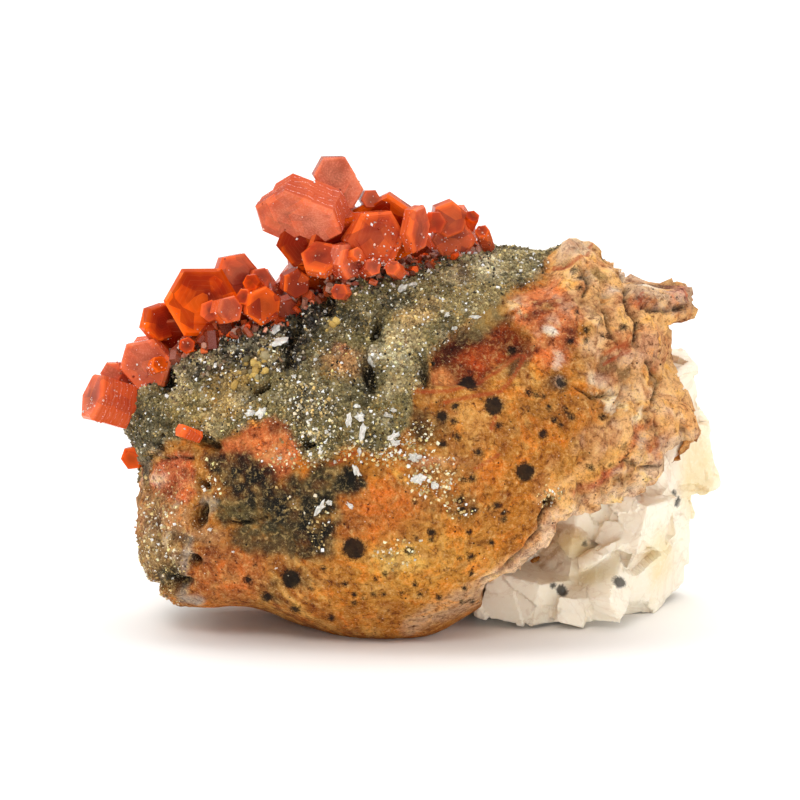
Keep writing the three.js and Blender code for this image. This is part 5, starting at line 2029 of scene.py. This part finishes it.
@dataclass
class Barite:
    """The cream-white barite under the rock: blocks and blades grown together, with broken faces.

    Attributes:
        shear: barite cleaves at 78 degrees, not square.
        grid: size of the cells that its skin is remade from, mm.
        leaves: yaw, pitch and roll of the cleavage, degrees.
        flatness: how a broken face is stretched along the cleavage's axes.
        facets: size in mm, slope and seed of each set of broken faces.
        sharp: degrees between two faces from which their edge stays sharp.
        shaded_facing: direction of the faces that are tanned with painted shade, those that the lights make
            brightest.
        thin: middle and half widths of the yellow areas on the face plane, mm.
        blades: its parts.
    """

    shear: float = 0.21
    grid: float = 0.17
    leaves: tuple[float, float, float] = (24, 12, 22)
    flatness: tuple[float, float, float] = (1.0, 1.3, 0.6)
    facets: tuple[tuple[float, float, int], ...] = ((5.0, 0.5, 313), (1.9, 0.1, 331))
    sharp: float = 24.0
    shaded_facing: tuple[float, float, float] = (0.6, 0.7, 0.35)
    thin: tuple[tuple[tuple[float, float], tuple[float, float]], ...] = (
        ((24.2, 11.5), (1.2, 4)), ((21, 4.5), (1.2, 2)), ((15, 3.4), (1.2, 0.6)), ((14, 5.8), (1, 0.8)),
    )
    blades: tuple[Blade, ...] = (
        Blade((19.5, 4.6, 14.2), (6.7, 4.8, 5.2), (24, 6, -8), 6, 0.8),
        Blade((21.6, 4.4, 9.4), (2.0, 3.4, 2.4), (20, 16, -10), 5, 0.7),
        Blade((17.6, 9.0, 11.6), (6.2, 4.8, 5.8), (-16, -8, 10), 5, 0.72),
        Blade((16.5, 4.5, 6.2), (6.9, 7.2, 5.4), (-12, 12, 8), 6, 0.9),
        Blade((9.5, 8.0, 6.0), (8.8, 5.6, 5.6), (10, -6, 4), 5, 0.8),
        Blade((10.8, -0.6, 2.4), (4.9, 4.0, 1.8), (14, 10, 6), 5, 0.84),
        Blade((8.8, 0.4, 2.0), (2.7, 3.4, 1.7), (-30, -6, 10), 4, 0.7),
        Blade((15.8, -1.6, 2.9), (3.5, 3.8, 1.1), (34, 14, -30), 4, 0.86),
        Blade((16.6, -2.2, 6.1), (2.8, 2.8, 0.4), (8, -18, -26), 5, 0.9),
        Blade((18.8, -0.4, 8.2), (3.4, 3.6, 2.1), (20, 10, 12), 5, 0.74),
        Blade((19.4, 1.4, 4.2), (2.2, 4.0, 2.6), (-10, 0, 24), 5, 0.8),
        Blade((13.6, -2.6, 1.3), (2.2, 2.0, 1.1), (52, 4, 12), 4, 0.8),
    )

    def skin(self) -> Shell:
        """The blades grown together, their skin remade from small cells, as a shell.

        Returns:
            The shell, its corners four to a face.
        """
        parts = []
        for number, blade in enumerate(self.blades):
            parts.append(welded(blade.shell(self.shear).build(f"blade_{number}", smooth=False)))
        whole = joined("barite_solid", parts)
        remake = whole.modifiers.new("skin", "REMESH")
        remake.mode = "VOXEL"
        remake.voxel_size = self.grid * METRES * 1
        mesh = bpy.data.meshes.new_from_object(whole.evaluated_get(bpy.context.evaluated_depsgraph_get()))
        bpy.data.objects.remove(whole)
        corners = read(mesh.loops, "vertex_index", 1, np.int32)
        return Shell(from_model(read(mesh.vertices, "co", 3)), corners.reshape(-1, 4))

    def shell(self) -> Shell:
        """The skin with broken faces: each cell of two cellular fields is a small plane with its own slope.

        Faces towards the right, the back and the top, which the lights make brightest, are tanned with
        painted shade.

        Returns:
            The finished shape with the numbers that the finish reads.
        """
        shell = self.skin()
        points = shell.points
        places = face_plane(points)
        worn = noise(points, 3.5, 307, 4)
        steps = np.zeros(len(points))
        leaves = points @ turned(self.leaves) / np.array(self.flatness)
        for size, slope, seed in self.facets:
            _, _, number, away = cells(leaves + worn[:, None] * 0.25, size, seed)
            spin = number * 2 * math.pi
            tilt = away[:, 0] * np.cos(spin) + away[:, 1] * np.sin(spin)
            steps += slope * (tilt + (number * 7 % 1 - 0.5) * 0.7)
        height = steps + worn * 0.05 + noise(points, 0.7, 311, 3) * 0.015
        shell.points = points + shell.normals() * np.clip(height, -0.9, 0.3)[:, None]
        shell.points[:, 2] = np.maximum(shell.points[:, 2], FLOOR)
        yellow = np.max([
            Mark(at=at, reach=reach, edge=0.8, ragged=0.5).cover(places, worn) for at, reach in self.thin
        ], axis=0)
        # painted shade of the hollow under the rind
        hollow_shade = HOLLOW_SHADE.cover(places, worn)
        # Painted shade on the faces that look towards the right, the back and the top, where the lights fall
        # most.
        facing_shade = smoothstep(0.1, 1.0, shell.normals() @ self.shaded_facing)
        facing_shade *= 0.24 + 0.3 * noise(points, 2.2, 317, 4)
        shell.numbers = {
            # Painted shade, stored with the seams: the low cleavage steps, the faces towards the lights and
            # the hollow under the rind.
            "seam_and_shade": np.clip(smoothstep(-0.1, -0.7, steps + worn * 0.25) * 0.5 + facing_shade + hollow_shade, 0, 1),
            "yellow": yellow,
            "spot": np.where(points[:, 1] < 6, spot_distance(places, BARITE_SPOTS), 2.0),
        }
        return shell

    def build(self) -> bpy.types.Object:
        """Makes and dresses the barite.

        Returns:
            The piece.
        """
        piece = self.shell().build("barite_blades", smooth=True)
        piece.data.set_sharp_from_angle(angle=math.radians(self.sharp))
        fitted(piece, BariteFinish().build(), ["barite"])
        return piece


# -------------------------------------------------------------------------------------------- studio
@dataclass
class SoftBox:
    """A rectangular light: where it stands and its size in metres, and its power in watts."""

    name: str
    at: tuple[float, float, float]
    size: tuple[float, float]
    power: float

    def build(self, target: np.ndarray) -> None:
        """Adds the light, turned towards the target.

        Args:
            target: place that it looks at, metres.
        """
        lamp = bpy.data.lights.new(self.name, "AREA")
        lamp.shape = "RECTANGLE"
        lamp.size, lamp.size_y = self.size
        lamp.energy = self.power
        stand = placed(self.name, lamp)
        stand.location = self.at
        aim = Vector(target) - stand.location
        stand.rotation_euler = aim.to_track_quat("-Z", "Y").to_euler()


@dataclass
class Studio:
    """Pale floor, soft lights and the camera.

    Attributes:
        target: drawing-frame point that the camera looks at, mm.
        distance: from the target to the camera, mm.
        elevation: of the camera above level, degrees.
        lens: focal length, mm.
        sensor: width of the camera's sensor, mm.
        floor_half: half the floor's side, metres.
        sky: brightness of the white surroundings.
        lights: the soft boxes.
    """

    target: tuple[float, float, float] = (0.16, 0.0, 17.7)
    distance: float = 420.0
    elevation: float = 12.0
    lens: float = 238.9
    sensor: float = 36.0
    floor_half: float = 4.0
    sky: float = 0.5
    lights: tuple[SoftBox, ...] = (
        SoftBox("overhead", (0.0, 0.22, 0.5), (0.9, 0.7), 3.7),
        SoftBox("left", (-0.34, -0.02, 0.2), (0.16, 0.2), 0.5),
        SoftBox("right", (0.34, -0.04, 0.16), (0.16, 0.2), 0.3),
        SoftBox("front", (-0.1, -0.3, 0.34), (0.2, 0.14), 0.6),
        SoftBox("low", (0.14, -0.4, 0.08), (0.3, 0.1), 0.5),
    )

    def surroundings(self) -> bpy.types.World:
        """White all round: brightest overhead, dim behind the camera so that glossy faces stay deep.

        Returns:
            The world.
        """
        world = bpy.data.worlds.new("surroundings")
        s = Shader("surroundings", world)
        way = s.node("TexCoord").shader_output("Generated")
        parts = s.node("SeparateXYZ", {}, {"Vector": way})
        up = parts.shader_output("Z").over(0.0, 1.0)
        front = parts.shader_output("Y").over(0.2, -0.9)
        level = (0.5 + 0.9 * up) * (1.0 - 0.6 * front) * self.sky
        shine = s.node("Background", {}, {"Color": (1.0, 1.0, 1.0, 1.0), "Strength": level})
        s.node("OutputWorld", {}, {"Surface": shine.shader_output("Background")})
        return world

    def build(self) -> None:
        """Adds the floor, the surroundings, the lights and the camera."""
        scene = bpy.context.scene
        scene.view_settings.view_transform = "Standard"
        side = self.floor_half
        corners = np.array([(-side, -side, 0), (side, -side, 0), (side, side, 0), (-side, side, 0)])
        mesh = bpy.data.meshes.new("floor")
        mesh.from_pydata(corners.tolist(), [], [(0, 1, 2, 3)])
        floor = placed("floor", mesh)
        mesh.materials.append(FloorFinish().build())
        floor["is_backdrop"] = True
        scene.world = self.surroundings()
        target = to_model(np.array([self.target]))[0]
        for light in self.lights:
            light.build(target)
        tilt = math.radians(self.elevation)
        away = np.array([0.0, -math.cos(tilt), math.sin(tilt)]) * self.distance * METRES
        lens = bpy.data.cameras.new("camera")
        lens.lens = self.lens
        lens.sensor_width = self.sensor
        lens.clip_start = 0.01
        camera = placed("camera", lens)
        camera.location = target + away
        camera.rotation_euler = (-Vector(away)).to_track_quat("-Z", "Y").to_euler()
        scene.camera = camera


# ---------------------------------------------------------------------------------------------- main
def write_sizes() -> None:
    """Logs the CAD box and the visual model's box, in mm."""
    low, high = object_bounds()
    boxes = {"cad": [list(CAD_LOW), list(CAD_HIGH)], "visual": [list(low), list(high)]}
    for name, box in boxes.items():
        LOG.info("%s box in mm: %s", name, np.round(np.array(box) * 1000, 2).tolist())


def main() -> None:
    """Builds the specimen piece by piece, then the studio."""
    logging.basicConfig(level=logging.INFO, format="%(message)s")
    Studio().build()
    matrix = MatrixRock(cells=129)
    rock = matrix.shell()
    matrix.build(rock)
    Barite().build()
    crystal = VanadiniteFinish().build()
    clusters = [cluster.build(crystal) for cluster in CLUSTERS]
    druse = GrainFinish("sparkling_druse", 0.2).build()
    finishes = {
        "druse": druse,
        "vanadinite": GrainFinish("vanadinite_seedling", 0.12, 0.4).build(),
        "botryoid": GrainFinish("mustard_botryoid", 0.35, 0.15).build(),
    }
    for coat in COATS:
        coat.build(rock, finishes[coat.slot])
    DUST_AND_GLINTS.build(skin_of(clusters, CRYSTAL_TONE), finishes[DUST_AND_GLINTS.slot])
    Flakes().build(rock)
    write_sizes()


if __name__ == "__main__":
    main()
